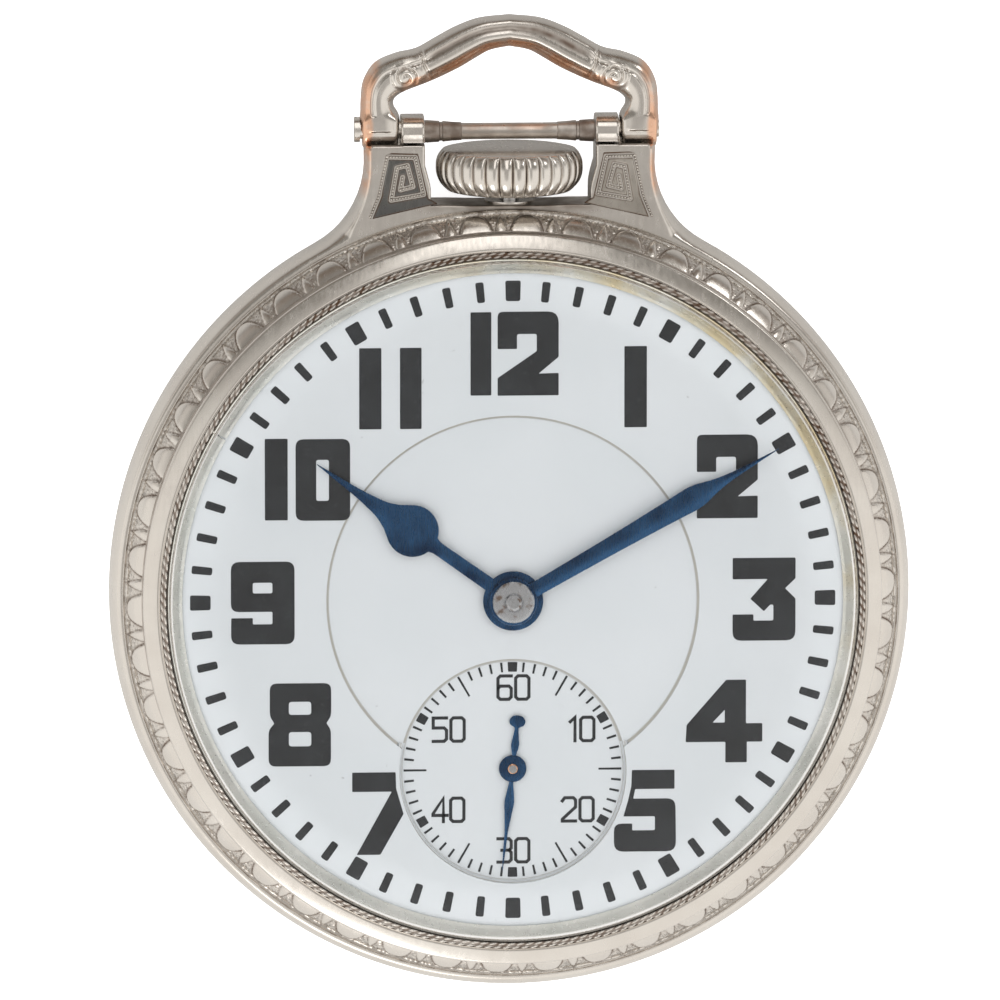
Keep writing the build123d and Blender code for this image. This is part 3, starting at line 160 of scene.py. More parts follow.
def part_ring(name, centre, profile, start, end, steps):
    """A profile of (radius, z) carried round a centre, from start to end in degrees clockwise from 12."""
    profile = np.asarray(profile, float)
    s, c = clockwise(np.linspace(start, end, steps))
    x = centre[0] + s[:, None] * profile[:, 0]
    y = centre[1] + c[:, None] * profile[:, 0]
    points = np.stack([x, y, np.broadcast_to(profile[:, 1], x.shape)], -1).reshape(-1, 3)
    return add_mesh(name, points, grid_faces(steps, len(profile), rows_wrap=False)[:, ::-1])


def smoothstep(low, high, value):
    t = np.clip((value - low) / (high - low), 0, 1)
    return t * t * (3 - 2 * t)


def arc_points(centre, radii, start, end, count):
    """Points on an ellipse from one angle to another, in degrees."""
    t = np.radians(np.linspace(start, end, count))
    return [(centre[0] + radii[0] * math.cos(a), centre[1] + radii[1] * math.sin(a)) for a in t]


def spline(points, count):
    """A Catmull-Rom curve through the points."""
    p = np.asarray(points, float)
    p = np.concatenate([2 * p[:1] - p[1:2], p, 2 * p[-1:] - p[-2:-1]])
    t = np.linspace(0, 1, count, endpoint=False)[:, None]
    out = []
    for a, b, c, d in zip(p[:-3], p[1:-2], p[2:-1], p[3:]):
        out.append(
            0.5
            * (2 * b + (c - a) * t + (2 * a - 5 * b + 4 * c - d) * t**2 + (3 * b - a - 3 * c + d) * t**3)
        )
    return np.concatenate([*out, p[-2:-1]])


# ---- distances in the plane -------------------------------------------------------------------
def path_distance(x, y, path, closed=False):
    """How far each place is from a line of points."""
    path = np.asarray(path, float)
    ends = np.roll(path, -1, 0) if closed else path[1:]
    starts = path if closed else path[:-1]
    best = np.full(np.broadcast(x, y).shape, np.inf)
    for a, b in zip(starts, ends):
        d = b - a
        length = math.hypot(*d) or 1e-9
        t = np.clip(((x - a[0]) * d[0] + (y - a[1]) * d[1]) / length**2, 0, 1)
        gap = np.hypot(x - a[0] - t * d[0], y - a[1] - t * d[1])
        best = np.minimum(best, gap)
    return best


def inside(x, y, outline):
    """Which places are inside a closed outline, by counting crossings."""
    outline = np.asarray(outline, float)
    result = np.zeros(np.broadcast(x, y).shape, bool)
    for a, b in zip(outline, np.roll(outline, -1, 0)):
        if a[1] == b[1]:
            continue
        crosses = (a[1] > y) != (b[1] > y)
        result = result ^ (crosses & (x < (b[0] - a[0]) * (y - a[1]) / (b[1] - a[1]) + a[0]))
    return result


def outline_distance(x, y, outline):
    """Signed distance to a closed outline, negative inside."""
    gap = path_distance(x, y, outline, closed=True)
    return np.where(inside(x, y, outline), -gap, gap)


def soft_max(a, b, radius):
    """The larger of two fields, with the corner between them rounded."""
    h = np.clip(0.5 + 0.5 * (a - b) / radius, 0, 1)
    return a * h + b * (1 - h) + radius * h * (1 - h)


def soft_min(a, b, radius):
    return -soft_max(-a, -b, radius)


def surface_net(field, low, high, cell):
    """Points and quads on the zero level of field(x, y, z), which is negative inside."""
    low, high = np.asarray(low, float), np.asarray(high, float)
    count = np.maximum(np.ceil((high - low) / cell).astype(int), 2) + 1
    axes = [low[k] + cell * np.arange(count[k]) for k in range(3)]
    x, y, z = np.meshgrid(*axes, indexing="ij", sparse=True)
    values = np.broadcast_to(field(x, y, z), count).copy()
    for axis in range(3):
        edge = np.moveaxis(values, axis, 0)
        edge[0] = np.abs(edge[0]) + cell * 0.01
        edge[-1] = np.abs(edge[-1]) + cell * 0.01
    solid = values < 0
    cells = tuple(count - 1)
    total = np.zeros(cells + (3,))
    hits = np.zeros(cells)
    edges = []
    for axis in range(3):
        u, v = (axis + 1) % 3, (axis + 2) % 3
        first = np.moveaxis(values, axis, 0)[:-1]
        second = np.moveaxis(values, axis, 0)[1:]
        cut = (first < 0) != (second < 0)
        share = np.where(cut, first / np.where(cut, first - second, 1), 0)
        cut, share = np.moveaxis(cut, 0, axis), np.moveaxis(share, 0, axis)
        node = np.stack(np.nonzero(cut), 1)
        place = node.astype(float)
        place[:, axis] += share[cut]
        edges.append((axis, u, v, node))
        for du in (0, 1):
            for dv in (0, 1):
                home = node.copy()
                home[:, u] -= du
                home[:, v] -= dv
                ok = np.all((home >= 0) & (home < np.array(cells)), axis=1)
                at = tuple(home[ok].T)
                np.add.at(total, at, place[ok])
                np.add.at(hits, at, 1)
    used = hits > 0
    number = np.full(cells, -1)
    number[used] = np.arange(int(used.sum()))
    points = low + cell * total[used] / hits[used][:, None]
    quads = []
    for axis, u, v, node in edges:
        corners = []
        for du, dv in ((1, 1), (0, 1), (0, 0), (1, 0)):
            home = node.copy()
            home[:, u] -= du
            home[:, v] -= dv
            corners.append(home)
        ok = np.ones(len(node), bool)
        for home in corners:
            ok &= np.all((home >= 0) & (home < np.array(cells)), axis=1)
        quad = np.stack([number[tuple(home[ok].T)] for home in corners], 1)
        outward = solid[tuple(node[ok].T)]
        quads.append(np.where(outward[:, None], quad, quad[:, ::-1]))
    return points, np.concatenate(quads)


def settle(field, points, cell, rounds=2):
    """Moves the points of a surface net onto the surface."""
    step = cell * 0.25
    for _ in range(rounds):
        x, y, z = points.T
        value = field(x, y, z)
        slope = np.stack(
            [
                field(x + step, y, z) - field(x - step, y, z),
                field(x, y + step, z) - field(x, y - step, z),
                field(x, y, z + step) - field(x, y, z - step),
            ],
            1,
        ) / (2 * step)
        size = np.maximum((slope**2).sum(1), 0.05)
        move = -(value / size)[:, None] * slope
        length = np.linalg.norm(move, axis=1, keepdims=True)
        points = points + move * np.minimum(1, cell * 0.5 / np.maximum(length, 1e-9))
    return points


def net_object(name, field, low, high, cell):
    points, quads = surface_net(field, low, high, cell)
    points = settle(field, points, cell)
    return add_mesh(name, points, quads), points


# ---- materials --------------------------------------------------------------------------------
class Nodes:
    """A small helper that adds and joins shader nodes."""

    def __init__(self, name):
        self.material = bpy.data.materials.new(name)
        self.material.use_nodes = True
        self.tree = self.material.node_tree
        self.shader = self.tree.nodes["Principled BSDF"]
        self.place = self.add("ShaderNodeTexCoord").outputs["Object"]

    def add(self, kind, **inputs):
        node = self.tree.nodes.new(kind)
        for name, value in inputs.items():
            self.put(node.inputs[name.replace("_", " ")], value)
        return node

    def put(self, socket, value):
        if isinstance(value, bpy.types.NodeSocket):
            self.tree.links.new(value, socket)
        else:
            socket.default_value = value

    def scaled(self, x, y, z):
        node = self.add("ShaderNodeMapping", Scale=(x, y, z))
        self.put(node.inputs["Vector"], self.place)
        return node.outputs["Vector"]

    def noise(self, scale, detail=3.0, vector=None):
        node = self.add("ShaderNodeTexNoise", Scale=scale, Detail=detail)
        self.put(node.inputs["Vector"], vector or self.place)
        return node.outputs["Fac"]

    def range(self, value, low, high, to_low=0.0, to_high=1.0):
        node = self.add("ShaderNodeMapRange")
        for key, number in enumerate((value, low, high, to_low, to_high)):
            self.put(node.inputs[key], number)
        return node.outputs["Result"]

    def math(self, operation, a, b=0.0):
        node = self.add("ShaderNodeMath")
        node.operation = operation
        self.put(node.inputs[0], a)
        self.put(node.inputs[1], b)
        return node.outputs[0]

    def mix(self, share, first, second, blend="MIX"):
        node = self.add("ShaderNodeMix")
        node.data_type = "RGBA"
        node.blend_type = blend
        self.put(node.inputs[0], share)
        self.put(node.inputs[6], first)
        self.put(node.inputs[7], second)
        return node.outputs[2]

    def attribute(self, name):
        node = self.add("ShaderNodeAttribute")
        node.attribute_name = name
        return node.outputs["Fac"]

    def bump(self, height, strength, distance):
        node = self.add("ShaderNodeBump", Strength=strength, Distance=distance)
        self.put(node.inputs["Height"], height)
        return node.outputs["Normal"]

    def metal(self, colour, roughness, height, strength, distance):
        normal = self.bump(height, strength, distance)
        return self.surface(Base_Color=colour, Metallic=1.0, Roughness=roughness, Normal=normal)

    def surface(self, **inputs):
        for name, value in inputs.items():
            self.put(self.shader.inputs[name.replace("_", " ")], value)
        return self.material


def tint(red, green, blue):
    return (red, green, blue, 1.0)


def scratched(n, scale, squeeze):
    """Fine scratches that run mostly one way: a stretched noise."""
    return n.noise(scale, 4.0, n.scaled(1.0, squeeze, 1.0))


def case_material(name, light, dark, rough=0.16):
    """Worn white gold: colour clouds, fine scratches, brown grime in recesses mixed with painted shade, and
    copper where it is worn.
    """
    n = Nodes(name)
    clouds = n.range(n.noise(260.0), 0.35, 0.65)
    colour = n.mix(clouds, light, dark)
    # dark brown where the attribute read here is high: grime on some pieces, painted shade on others
    dirt_and_painted_shade = n.math("MULTIPLY", n.attribute("dirt_and_painted_shade"), n.range(n.noise(900.0), 0.3, 0.6, 0.45, 1.0))
    colour = n.mix(dirt_and_painted_shade, colour, tint(0.14, 0.085, 0.055))
    wear = n.math("MULTIPLY", n.attribute("wear"), n.range(n.noise(700.0), 0.25, 0.55))
    colour = n.mix(wear, colour, tint(0.8, 0.47, 0.31))
    fine = scratched(n, 5200.0, 0.12)
    marks = n.range(n.noise(1500.0, 5.0), 0.45, 0.75)
    roughness = n.math("ADD", n.range(fine, 0.3, 0.7, rough, rough + 0.1), n.math("MULTIPLY", marks, 0.07))
    roughness = n.math("ADD", roughness, n.math("MULTIPLY", dirt_and_painted_shade, 0.35))
    height = n.math("ADD", fine, n.math("MULTIPLY", marks, 0.5))
    return n.metal(colour, roughness, height, 0.12, 0.00001)


def metal_material(name, light, dark, rough=0.22, scale=400.0, squeeze=0.1):
    """Any other metal: two tones in clouds and fine drawn marks."""
    n = Nodes(name)
    colour = n.mix(n.range(n.noise(scale), 0.35, 0.65), light, dark)
    fine = scratched(n, 6500.0, squeeze)
    roughness = n.range(fine, 0.3, 0.7, rough - 0.05, rough + 0.1)
    return n.metal(colour, roughness, fine, 0.15, 0.000008)


def stained_steel_material(name):
    """The cap on the hands' axis: bright steel with brown stains and turned rings."""
    n = Nodes(name)
    stain = n.range(n.noise(1900.0, 4.0), 0.52, 0.66)
    colour = n.mix(stain, tint(0.55, 0.55, 0.56), tint(0.22, 0.16, 0.13))
    fine = scratched(n, 7000.0, 0.2)
    roughness = n.range(n.math("ADD", fine, stain), 0.4, 1.4, 0.22, 0.5)
    return n.metal(colour, roughness, fine, 0.2, 0.00001)


def nickel_material(name):
    """Damaskeened nickel: soft straight stripes with grained edges."""
    n = Nodes(name)
    wave = n.add("ShaderNodeTexWave", Scale=310.0, Distortion=0.4, Detail=1.0)
    wave.bands_direction = "DIAGONAL"
    n.put(wave.inputs["Vector"], n.place)
    fine = n.noise(9000.0, 3.0, n.scaled(1.0, 0.15, 1.0))
    stripe = n.range(wave.outputs["Fac"], 0.1, 0.9)
    colour = n.mix(stripe, tint(0.72, 0.71, 0.68), tint(0.56, 0.55, 0.53))
    roughness = n.range(n.math("ADD", n.math("MULTIPLY", stripe, 0.6), fine), 0.3, 1.3, 0.18, 0.36)
    height = n.math("ADD", wave.outputs["Fac"], n.math("MULTIPLY", fine, 0.4))
    return n.metal(colour, roughness, height, 0.25, 0.00002)


def blued_material(name, light, dark):
    """Heat-blued steel, from navy to a lighter blue, with a painted highlight of lighter blue on one slope of
    each hand.
    """
    n = Nodes(name)
    shade = n.range(n.noise(520.0, 2.0), 0.3, 0.7)
    colour = n.mix(shade, dark, light)
    # painted highlight: lighter blue where the crest attribute is high
    colour = n.mix(n.attribute("crest"), colour, light)
    fine = scratched(n, 6000.0, 0.15)
    return n.metal(colour, n.range(fine, 0.3, 0.7, 0.2, 0.34), fine, 0.12, 0.000006)


def enamel_material(name, colour_light, colour_dark):
    """Fired white enamel: a glossy skin that is never quite flat, with a few dust specks."""
    n = Nodes(name)
    colour = n.mix(n.range(n.noise(140.0, 2.0), 0.35, 0.65), colour_light, colour_dark)
    specks = n.range(n.noise(2600.0, 2.0), 0.765, 0.79)
    colour = n.mix(n.math("MULTIPLY", specks, 0.35), colour, tint(0.25, 0.24, 0.23))
    # painted shadow: browner along the sunk edges of the enamel
    colour = n.mix(n.attribute("edge"), colour, tint(0.42, 0.37, 0.29))
    wave = n.noise(420.0, 2.0)
    roughness = n.range(n.noise(2400.0), 0.3, 0.7, 0.14, 0.24)
    return n.surface(
        Base_Color=colour, Roughness=roughness, Normal=n.bump(wave, 0.08, 0.00002), Coat_Weight=0.25
    )


def print_material(name):
    """Black enamel paint: dark grey with pale speckles where it is thin."""
    n = Nodes(name)
    speckle = n.range(n.noise(4600.0, 4.0), 0.6, 0.75)
    colour = n.mix(n.range(n.noise(500.0), 0.3, 0.7), tint(0.012, 0.013, 0.015), tint(0.022, 0.024, 0.027))
    colour = n.mix(n.math("MULTIPLY", speckle, 0.3), colour, tint(0.12, 0.12, 0.13))
    height = n.noise(4200.0, 3.0)
    return n.surface(
        Base_Color=colour,
        Roughness=n.range(speckle, 0.0, 1.0, 0.38, 0.6),
        Normal=n.bump(height, 0.3, 0.00001),
    )


def ruby_material(name):
    n = Nodes(name)
    colour = n.mix(n.range(n.noise(1500.0), 0.3, 0.7), tint(0.4, 0.01, 0.05), tint(0.62, 0.04, 0.12))
    return n.surface(
        Base_Color=colour, Roughness=n.range(n.noise(3000.0), 0.3, 0.7, 0.03, 0.1), Coat_Weight=0.6
    )


def reflector_material(name):
    """The ring under the crystal: grey-green plate, with its gold showing round the upper right."""
    n = Nodes(name)
    split = n.add("ShaderNodeSeparateXYZ")
    n.put(split.inputs[0], n.place)
    side = n.math("ADD", split.outputs["X"], split.outputs["Y"])
    gold = n.math("MULTIPLY", n.range(side, 0.012, 0.026), n.range(n.noise(260.0), 0.4, 0.6, 0.1, 0.8))
    plate = n.mix(n.range(n.noise(300.0), 0.35, 0.65), tint(0.96, 0.94, 0.88), tint(0.8, 0.8, 0.74))
    colour = n.mix(gold, plate, tint(0.75, 0.6, 0.33))
    fine = n.noise(5200.0, 3.0)
    return n.metal(colour, n.range(fine, 0.3, 0.7, 0.25, 0.4), fine, 0.15, 0.000008)


def glass_material(name):
    """A thin clear crystal: it lets light through, reflects at its slopes and has faint scuffs."""
    n = Nodes(name)
    tree = n.tree
    clear = n.add("ShaderNodeBsdfTransparent", Color=tint(0.985, 0.99, 0.995))
    gloss = n.add("ShaderNodeBsdfGlossy", Color=tint(1.0, 1.0, 1.0))
    scuffs = n.range(n.noise(2200.0, 5.0), 0.5, 0.75)
    n.put(gloss.inputs["Roughness"], n.range(scuffs, 0.0, 1.0, 0.015, 0.12))
    fresnel = n.add("ShaderNodeFresnel", IOR=1.3)
    mix = n.add("ShaderNodeMixShader")
    n.put(mix.inputs[0], n.math("MULTIPLY", fresnel.outputs[0], 0.8))
    tree.links.new(clear.outputs[0], mix.inputs[1])
    tree.links.new(gloss.outputs[0], mix.inputs[2])
    tree.nodes.remove(n.shader)
    tree.links.new(mix.outputs[0], tree.nodes["Material Output"].inputs["Surface"])
    return n.material


CASE = case_material("case_metal", tint(0.73, 0.69, 0.64), tint(0.685, 0.64, 0.59))
# painted reflection: two copies of the case metal for the key panels, a dark grey one for the left panel and
# a paler one for the right
DARK_REFLECTION_PANEL = case_material("case_panel_painted_dark_reflection", tint(0.2, 0.195, 0.185), tint(0.12, 0.12, 0.12), 0.2)
PALE_REFLECTION_PANEL = case_material("case_panel_painted_pale_reflection", tint(0.55, 0.51, 0.46), tint(0.42, 0.385, 0.34), 0.22)
COPPER = metal_material("copper_wear", tint(0.87, 0.5, 0.32), tint(0.76, 0.42, 0.27), 0.25)
STEEL = metal_material("steel", tint(0.6, 0.6, 0.61), tint(0.5, 0.5, 0.5), 0.2)
STAINED = stained_steel_material("stained_steel")
GILT = metal_material("gilt_brass", tint(0.83, 0.62, 0.3), tint(0.74, 0.53, 0.25), 0.2)
NICKEL = nickel_material("damaskeened_nickel")
BLUED = blued_material("blued_steel", tint(0.035, 0.105, 0.225), tint(0.01, 0.028, 0.07))
ENAMEL = enamel_material("dial_enamel", tint(0.77, 0.785, 0.79), tint(0.745, 0.765, 0.77))
PRINT = print_material("dial_print")
RUBY = ruby_material("ruby")
GLASS = glass_material("crystal_glass")
REFLECTOR = reflector_material("reflector")


# ---- bezel ------------------------------------------------------------------------------------
BAND_OUT = (24.52, 7.18)
BAND_IN = (23.47, 8.42)
BAND_ROWS = 26
BAND_HEIGHT = 0.17
DOME_HALF = 0.325  # of the pitch of the scallops
DOME_TIP = 0.9  # of the width of the band
LEAF_HALF = 0.11
LEAF_TIP = 0.93


def bezel_profile():
    """The bezel's section, and where its scalloped band starts and ends in the list."""
    start = [(23.05, 6.92), (24.5, 6.92), (24.6, 6.96), (24.6, 7.1), (24.56, 7.15)]
    t = np.linspace(0, 1, BAND_ROWS)
    swell = 0.1 * np.sin(np.pi * t)
    across, up = BAND_IN[0] - BAND_OUT[0], BAND_IN[1] - BAND_OUT[1]
    band = [(BAND_OUT[0] + across * s + w * 0.6, BAND_OUT[1] + up * s + w) for s, w in zip(t, swell - 0.1)]
    ring = [
        *arc_points((23.12, 9.32), (0.26, 0.26), 0, 72, 7),
        *arc_points((22.45, 9.62), (0.22, 0.18), 72, 110, 5),
    ]
    rest = [(22.3, 9.9), (22.2, 9.75), (21.9, 9.62), (21.58, 9.6), (21.55, 8.32), (23.05, 8.3)]
    groove = [(23.43, 8.44), (23.4, 8.46)]
    return start + band + groove + ring + rest, len(start)


def scallops(around, share):
    """How far each place is inside a scallop and inside the leaf between two. share runs from the band's
    outer edge (0) to its inner edge (1)."""
    phase = (around - FIRST_SCALLOP) / 360 * SCALLOPS
    phase = np.abs(phase - np.round(phase))
    rise = 1 - share
    dome = DOME_TIP * (1 - (phase / DOME_HALF) ** 2.6) - rise
    leaf = LEAF_HALF * (1 - (rise / LEAF_TIP) ** 1.4) - (0.5 - phase)
    return phase, rise, dome, leaf


def scallop_relief(around, share):
    """Height of the band's relief, 0 to 1."""
    _, rise, dome_in, leaf_in = scallops(around, share)
    dome = np.where(dome_in > 0, 0.8 + 0.2 * np.tanh(dome_in / 0.3), 0)
    dome *= smoothstep(-0.02, 0.03, dome_in)
    leaf = smoothstep(-0.012, 0.02, leaf_in) * (0.75 + 0.25 * np.clip(leaf_in / 0.1, 0, 1))
    rim = smoothstep(0.955, 0.99, rise) + smoothstep(0.03, 0.0, rise)
    return np.clip(np.maximum(np.maximum(dome, leaf), rim * 0.9), 0, 1.1)


def scallop_outline(around, share):
    """How dark the brown line is that follows the edge of each scallop and leaf."""
    phase, rise, dome_in, leaf_in = scallops(around, share)
    dome_off = dome_in / (0.62 + 2.2 * np.clip(phase / DOME_HALF, 0, 1.2) ** 1.6)
    leaf_off = 3.2 * leaf_in
    dome_line = np.exp(-(((dome_off + 0.04) / 0.055) ** 2))
    leaf_line = 0.7 * np.exp(-(((leaf_off + 0.04) / 0.05) ** 2))
    return np.maximum(dome_line, leaf_line) * smoothstep(0.0, 0.08, rise)


def make_bezel():
    profile, first = bezel_profile()
    steps = SCALLOPS * 40
    noise = RNG.random((steps, BAND_ROWS))

    def relief(around, along):
        share = (along - first) / (BAND_ROWS - 1)
        on_band = (share >= 0) & (share <= 1)
        height = scallop_relief(around, np.clip(share, 0, 1))
        index = np.clip(along - first, 0, BAND_ROWS - 1)
        grain = noise[np.arange(steps)[:, None], index] * 0.42
        grain = grain * (1 - np.clip(height, 0, 1))
        return np.where(on_band, BAND_HEIGHT * (height + grain - 0.9), 0)

    piece, lift = revolve("bezel", profile, steps, relief)
    along = np.tile(np.arange(len(profile)), steps)
    on_band = (along >= first) & (along < first + BAND_ROWS)
    level = lift / BAND_HEIGHT + 0.9
    around = np.repeat(np.arange(steps) * 360 / steps, len(profile))
    share = np.clip((along - first) / (BAND_ROWS - 1), 0, 1)
    outlines = scallop_outline(around, share) * 0.85
    dirt_and_painted_shade = np.where(on_band, np.clip(outlines + 0.22 * smoothstep(0.35, 0.1, level), 0, 1), 0)
    ring_foot = (along >= first + BAND_ROWS) & (along <= first + BAND_ROWS + 2)
    paint(piece, "dirt_and_painted_shade", np.where(ring_foot, 0.5, dirt_and_painted_shade))
    sharpen(piece, 50)
    return finish_piece(piece, "bezel", CASE, ("bezel",))


def make_milling():
    """Two staggered rows of slanted beads round the mouth of the bezel."""
    rows = 13
    steps = MILL_BEADS * 8
    t = np.linspace(0, 1, rows)
    top = [(22.33 - 0.46 * s, 9.94 + 0.03 * math.sin(math.pi * s)) for s in t]
    profile = [(22.33, 9.8), *top, (21.86, 9.7), (21.9, 9.66), (22.25, 9.72)]

    def relief(around, along):
        s = np.clip((along - 1) / (rows - 1), 0, 1)
        second = s > 0.5
        across = np.where(second, 2 * s - 1, 2 * s)
        turn = around / 360 * MILL_BEADS + np.where(second, 0.5, 0.0) + 0.55 * across
        bead = np.abs(np.cos(np.pi * turn)) * np.sin(np.pi * across) ** 0.7
        shown = (along >= 1) & (along <= rows)
        return np.where(shown, 0.1 * (bead - 0.85), 0)

    piece, lift = revolve("bezel_milling", profile, steps, relief)
    around = np.repeat(np.arange(steps) * 360 / steps, len(profile))
    # grime and painted shade in the gaps between the beads, and painted shade all over round 1 o'clock for
    # the dark zigzag there
    painted_shade_near_one = np.exp(-((((around - 25 + 180) % 360 - 180) / 50) ** 2))
    paint(piece, "dirt_and_painted_shade", np.clip(smoothstep(-0.01, -0.05, lift) * (0.8 + 0.2 * painted_shade_near_one) + 0.45 * painted_shade_near_one, 0, 1))
    return finish_piece(piece, "bezel", CASE)


# ---- case band and pendant --------------------------------------------------------------------
def belly(start, end, count, depth):
    """The rounded flank of the case, from one angle to another."""
    points = []
    for a in np.radians(np.linspace(start, end, count)):
        rise = BELLY_UP if a >= 0 else BELLY_DOWN
        points.append((CASE_RADIUS - depth + depth * math.cos(a), CASE_MID_Z + rise * math.sin(a)))
    return points


def make_case_band():
    """The round of the case, open at 12 where the pendant piece takes over."""
    profile = [(COLLAR_RADIUS, 3.1), *belly(-90, 90, 29, BELLY_IN), (24.5, 6.85), (COLLAR_RADIUS, 6.85)]
    piece = part_ring("case_band", (0, 0), profile, BAND_GAP, 360 - BAND_GAP, 520)
    sharpen(piece, 40)
    return finish_piece(piece, "case", CASE)


def flare_arc(count=12):
    """The concave side of the neck, from the shoulder's corner down to the round of the case."""
    n = np.array([math.cos(math.radians(SHOULDER_FOOT)), math.sin(math.radians(SHOULDER_FOOT))])
    foot = CASE_RADIUS * n
    reach = np.array(SHOULDER) - foot
    radius = reach @ reach / (2 * n @ reach)
    centre = foot + n * radius
    a0 = math.atan2(*(np.array(SHOULDER) - centre)[::-1])
    a1 = math.atan2(*(foot - centre)[::-1]) % (2 * math.pi)
    a0 = a0 % (2 * math.pi)
    return [tuple(centre + radius * np.array([math.cos(a), math.sin(a)])) for a in np.linspace(a0, a1, count)]


def mirrored(half):
    """A closed outline from its right half, which runs from the top middle down to the bottom middle."""
    return list(half) + [(-x, y) for x, y in reversed(half)]


def silhouette():
    round_part = [
        (CASE_RADIUS * math.cos(math.radians(a)), CASE_RADIUS * math.sin(math.radians(a)))
        for a in np.linspace(SHOULDER_FOOT, 20, 16)
    ]
    return mirrored([(0.0, SHOULDER[1]), *flare_arc(), *round_part[1:], (0.0, 5.0)])


def ridge_region():
    """Where the front is at full height: inside the bezel's seat and between the neck's two ridges."""
    radius = CASE_RADIUS - BELLY_IN
    start = math.degrees(math.atan2(RIDGE[-1][1], RIDGE[-1][0])) - 1
    round_part = [
        (radius * math.cos(math.radians(a)), radius * math.sin(math.radians(a)))
        for a in np.linspace(start, 20, 18)
    ]
    curve = [tuple(p) for p in spline(RIDGE, 3)]
    return mirrored([(0.0, SHOULDER[1]), *curve, *round_part, (0.0, 5.0)])


def pendant_walls():
    """The neck seen from the front: steps, lugs and the saddle under the crown."""
    half = [
        (0.0, NECK_Y),
        (2.2, NECK_Y),
        *[(x, NECK_Y + rise) for x, rise in spline(SADDLE, 6)],
        (LUG_INNER_X, LUG_TOP_Y),
        (LUG_OUTER_X, LUG_TOP_Y),
        (LUG_OUTER_X, SHOULDER[1]),
        (13.5, SHOULDER[1]),
        (13.5, 18.0),
        (0.0, 18.0),
    ]
    return mirrored(half)


def make_pendant():
    """The neck of the case: shoulders, lugs and the flare that runs into the round of the case."""
    rim, ridge, walls = silhouette(), ridge_region(), pendant_walls()

    def field(x, y, z):
        outer = -outline_distance(x, y, rim)
        inner = np.maximum(outline_distance(x, y, ridge), 0)
        share = outer / np.maximum(np.abs(outer) + inner, 0.3)
        share = np.where(inner <= 0, 1.0, share)
        off = (z - CASE_MID_Z) / np.where(z > CASE_MID_Z, BELLY_UP, BELLY_DOWN)
        flank = (np.sqrt(off**2 + np.maximum(0, 1 - share) ** 2) - 1) * 1.6
        flank = np.where(y > SHOULDER[1] + 0.1, -3.0, flank)
        wall = outline_distance(x, y, walls)
        body = soft_max(flank, wall, 0.16)
        draw_in = smoothstep(SHOULDER[1] - 0.1, SHOULDER[1] + 0.7, y)
        half = BELLY_UP - (BELLY_UP - LUG_HALF) * draw_in
        lug = np.hypot(np.maximum(y - LUG_TOP_Y + 0.75, 0) * 1.9, z - CASE_MID_Z) - half
        body = soft_max(body, lug, 0.12)
        seat = COLLAR_RADIUS - np.hypot(x, y)
        body = np.maximum(body, seat)
        well = LUG_INNER_X - 0.05 - np.hypot(x, z - CASE_MID_Z)
        well = np.minimum(well, y - NECK_Y)
        body = soft_max(body, well, 0.15)
        round_pivot = PIVOT_RADIUS + 0.05 - np.hypot(y - PIVOT_Y, z - CASE_MID_Z)
        socket = np.minimum(round_pivot, np.abs(x) - LUG_OUTER_X)
        body = soft_max(body, socket, 0.12)
        angle = np.degrees(np.arctan2(np.abs(x), y))
        return np.maximum(body, (angle - BAND_GAP - 0.3) * 0.4)

    piece, points = net_object("pendant", field, (-13.6, 18.6, 2.7), (13.6, 30.9, 7.1), 0.085)
    x, y, z = points.T
    copper = spline(((9.12, 28.6), (9.08, 27.4), (9.2, 26.2), (9.45, 25.2)), 6)
    gap = path_distance(np.abs(x), y, copper)
    wear = smoothstep(0.42, 0.2, gap) * smoothstep(25.0, 26.5, y) * (z > CASE_MID_Z - 0.6)
    paint(piece, "wear", wear)
    # darker along the shoulder's step; at the root of the neck beside the crown, a painted shadow of the
    # crown
    step = smoothstep(0.12, 0.0, np.abs(y - SHOULDER[1])) * (np.abs(x) > LUG_OUTER_X - 0.1)
    painted_crown_shadow = smoothstep(-0.75, -0.1, y - NECK_Y) * smoothstep(0.9, 0.3, y - NECK_Y)
    painted_crown_shadow = painted_crown_shadow * smoothstep(7.0, 4.0, np.abs(x)) * 0.6
    paint(piece, "dirt_and_painted_shade", np.clip(0.7 * step + painted_crown_shadow, 0, 1))
    return finish_piece(piece, "case", CASE, ("case_band",))


# ---- key panels on the neck -------------------------------------------------------------------
KEY_PATH = (
    (7.77, 27.95), (6.02, 27.9), (5.5, 25.55), (7.55, 25.2), (7.19, 27.25), (6.53, 27.4),
    (6.17, 26.05), (6.97, 25.85), (6.82, 26.65),
)
KEY_EDGE = ((7.82, 27.95), (8.35, 25.4), (8.95, 23.95))
PANEL_EDGE = (
    (7.5, 28.2), (5.85, 28.15), (5.2, 25.3), (4.6, 24.95), (8.75, 24.0), (8.15, 25.5), (7.95, 28.1),
)
PANEL_Z = CASE_MID_Z + BELLY_UP


def walk(path, pitch):
    """Places every pitch along a line of points, with the direction there."""
    path = np.asarray(path, float)
    steps = np.linalg.norm(np.diff(path, axis=0), axis=1)
    total = np.concatenate([[0], np.cumsum(steps)])
    at = np.arange(0, total[-1], pitch)
    x, y = np.interp(at, total, path[:, 0]), np.interp(at, total, path[:, 1])
    piece = np.clip(np.searchsorted(total, at, side="right") - 1, 0, len(steps) - 1)
    heading = np.diff(path, axis=0)[piece]
    return x, y, np.arctan2(heading[:, 1], heading[:, 0])


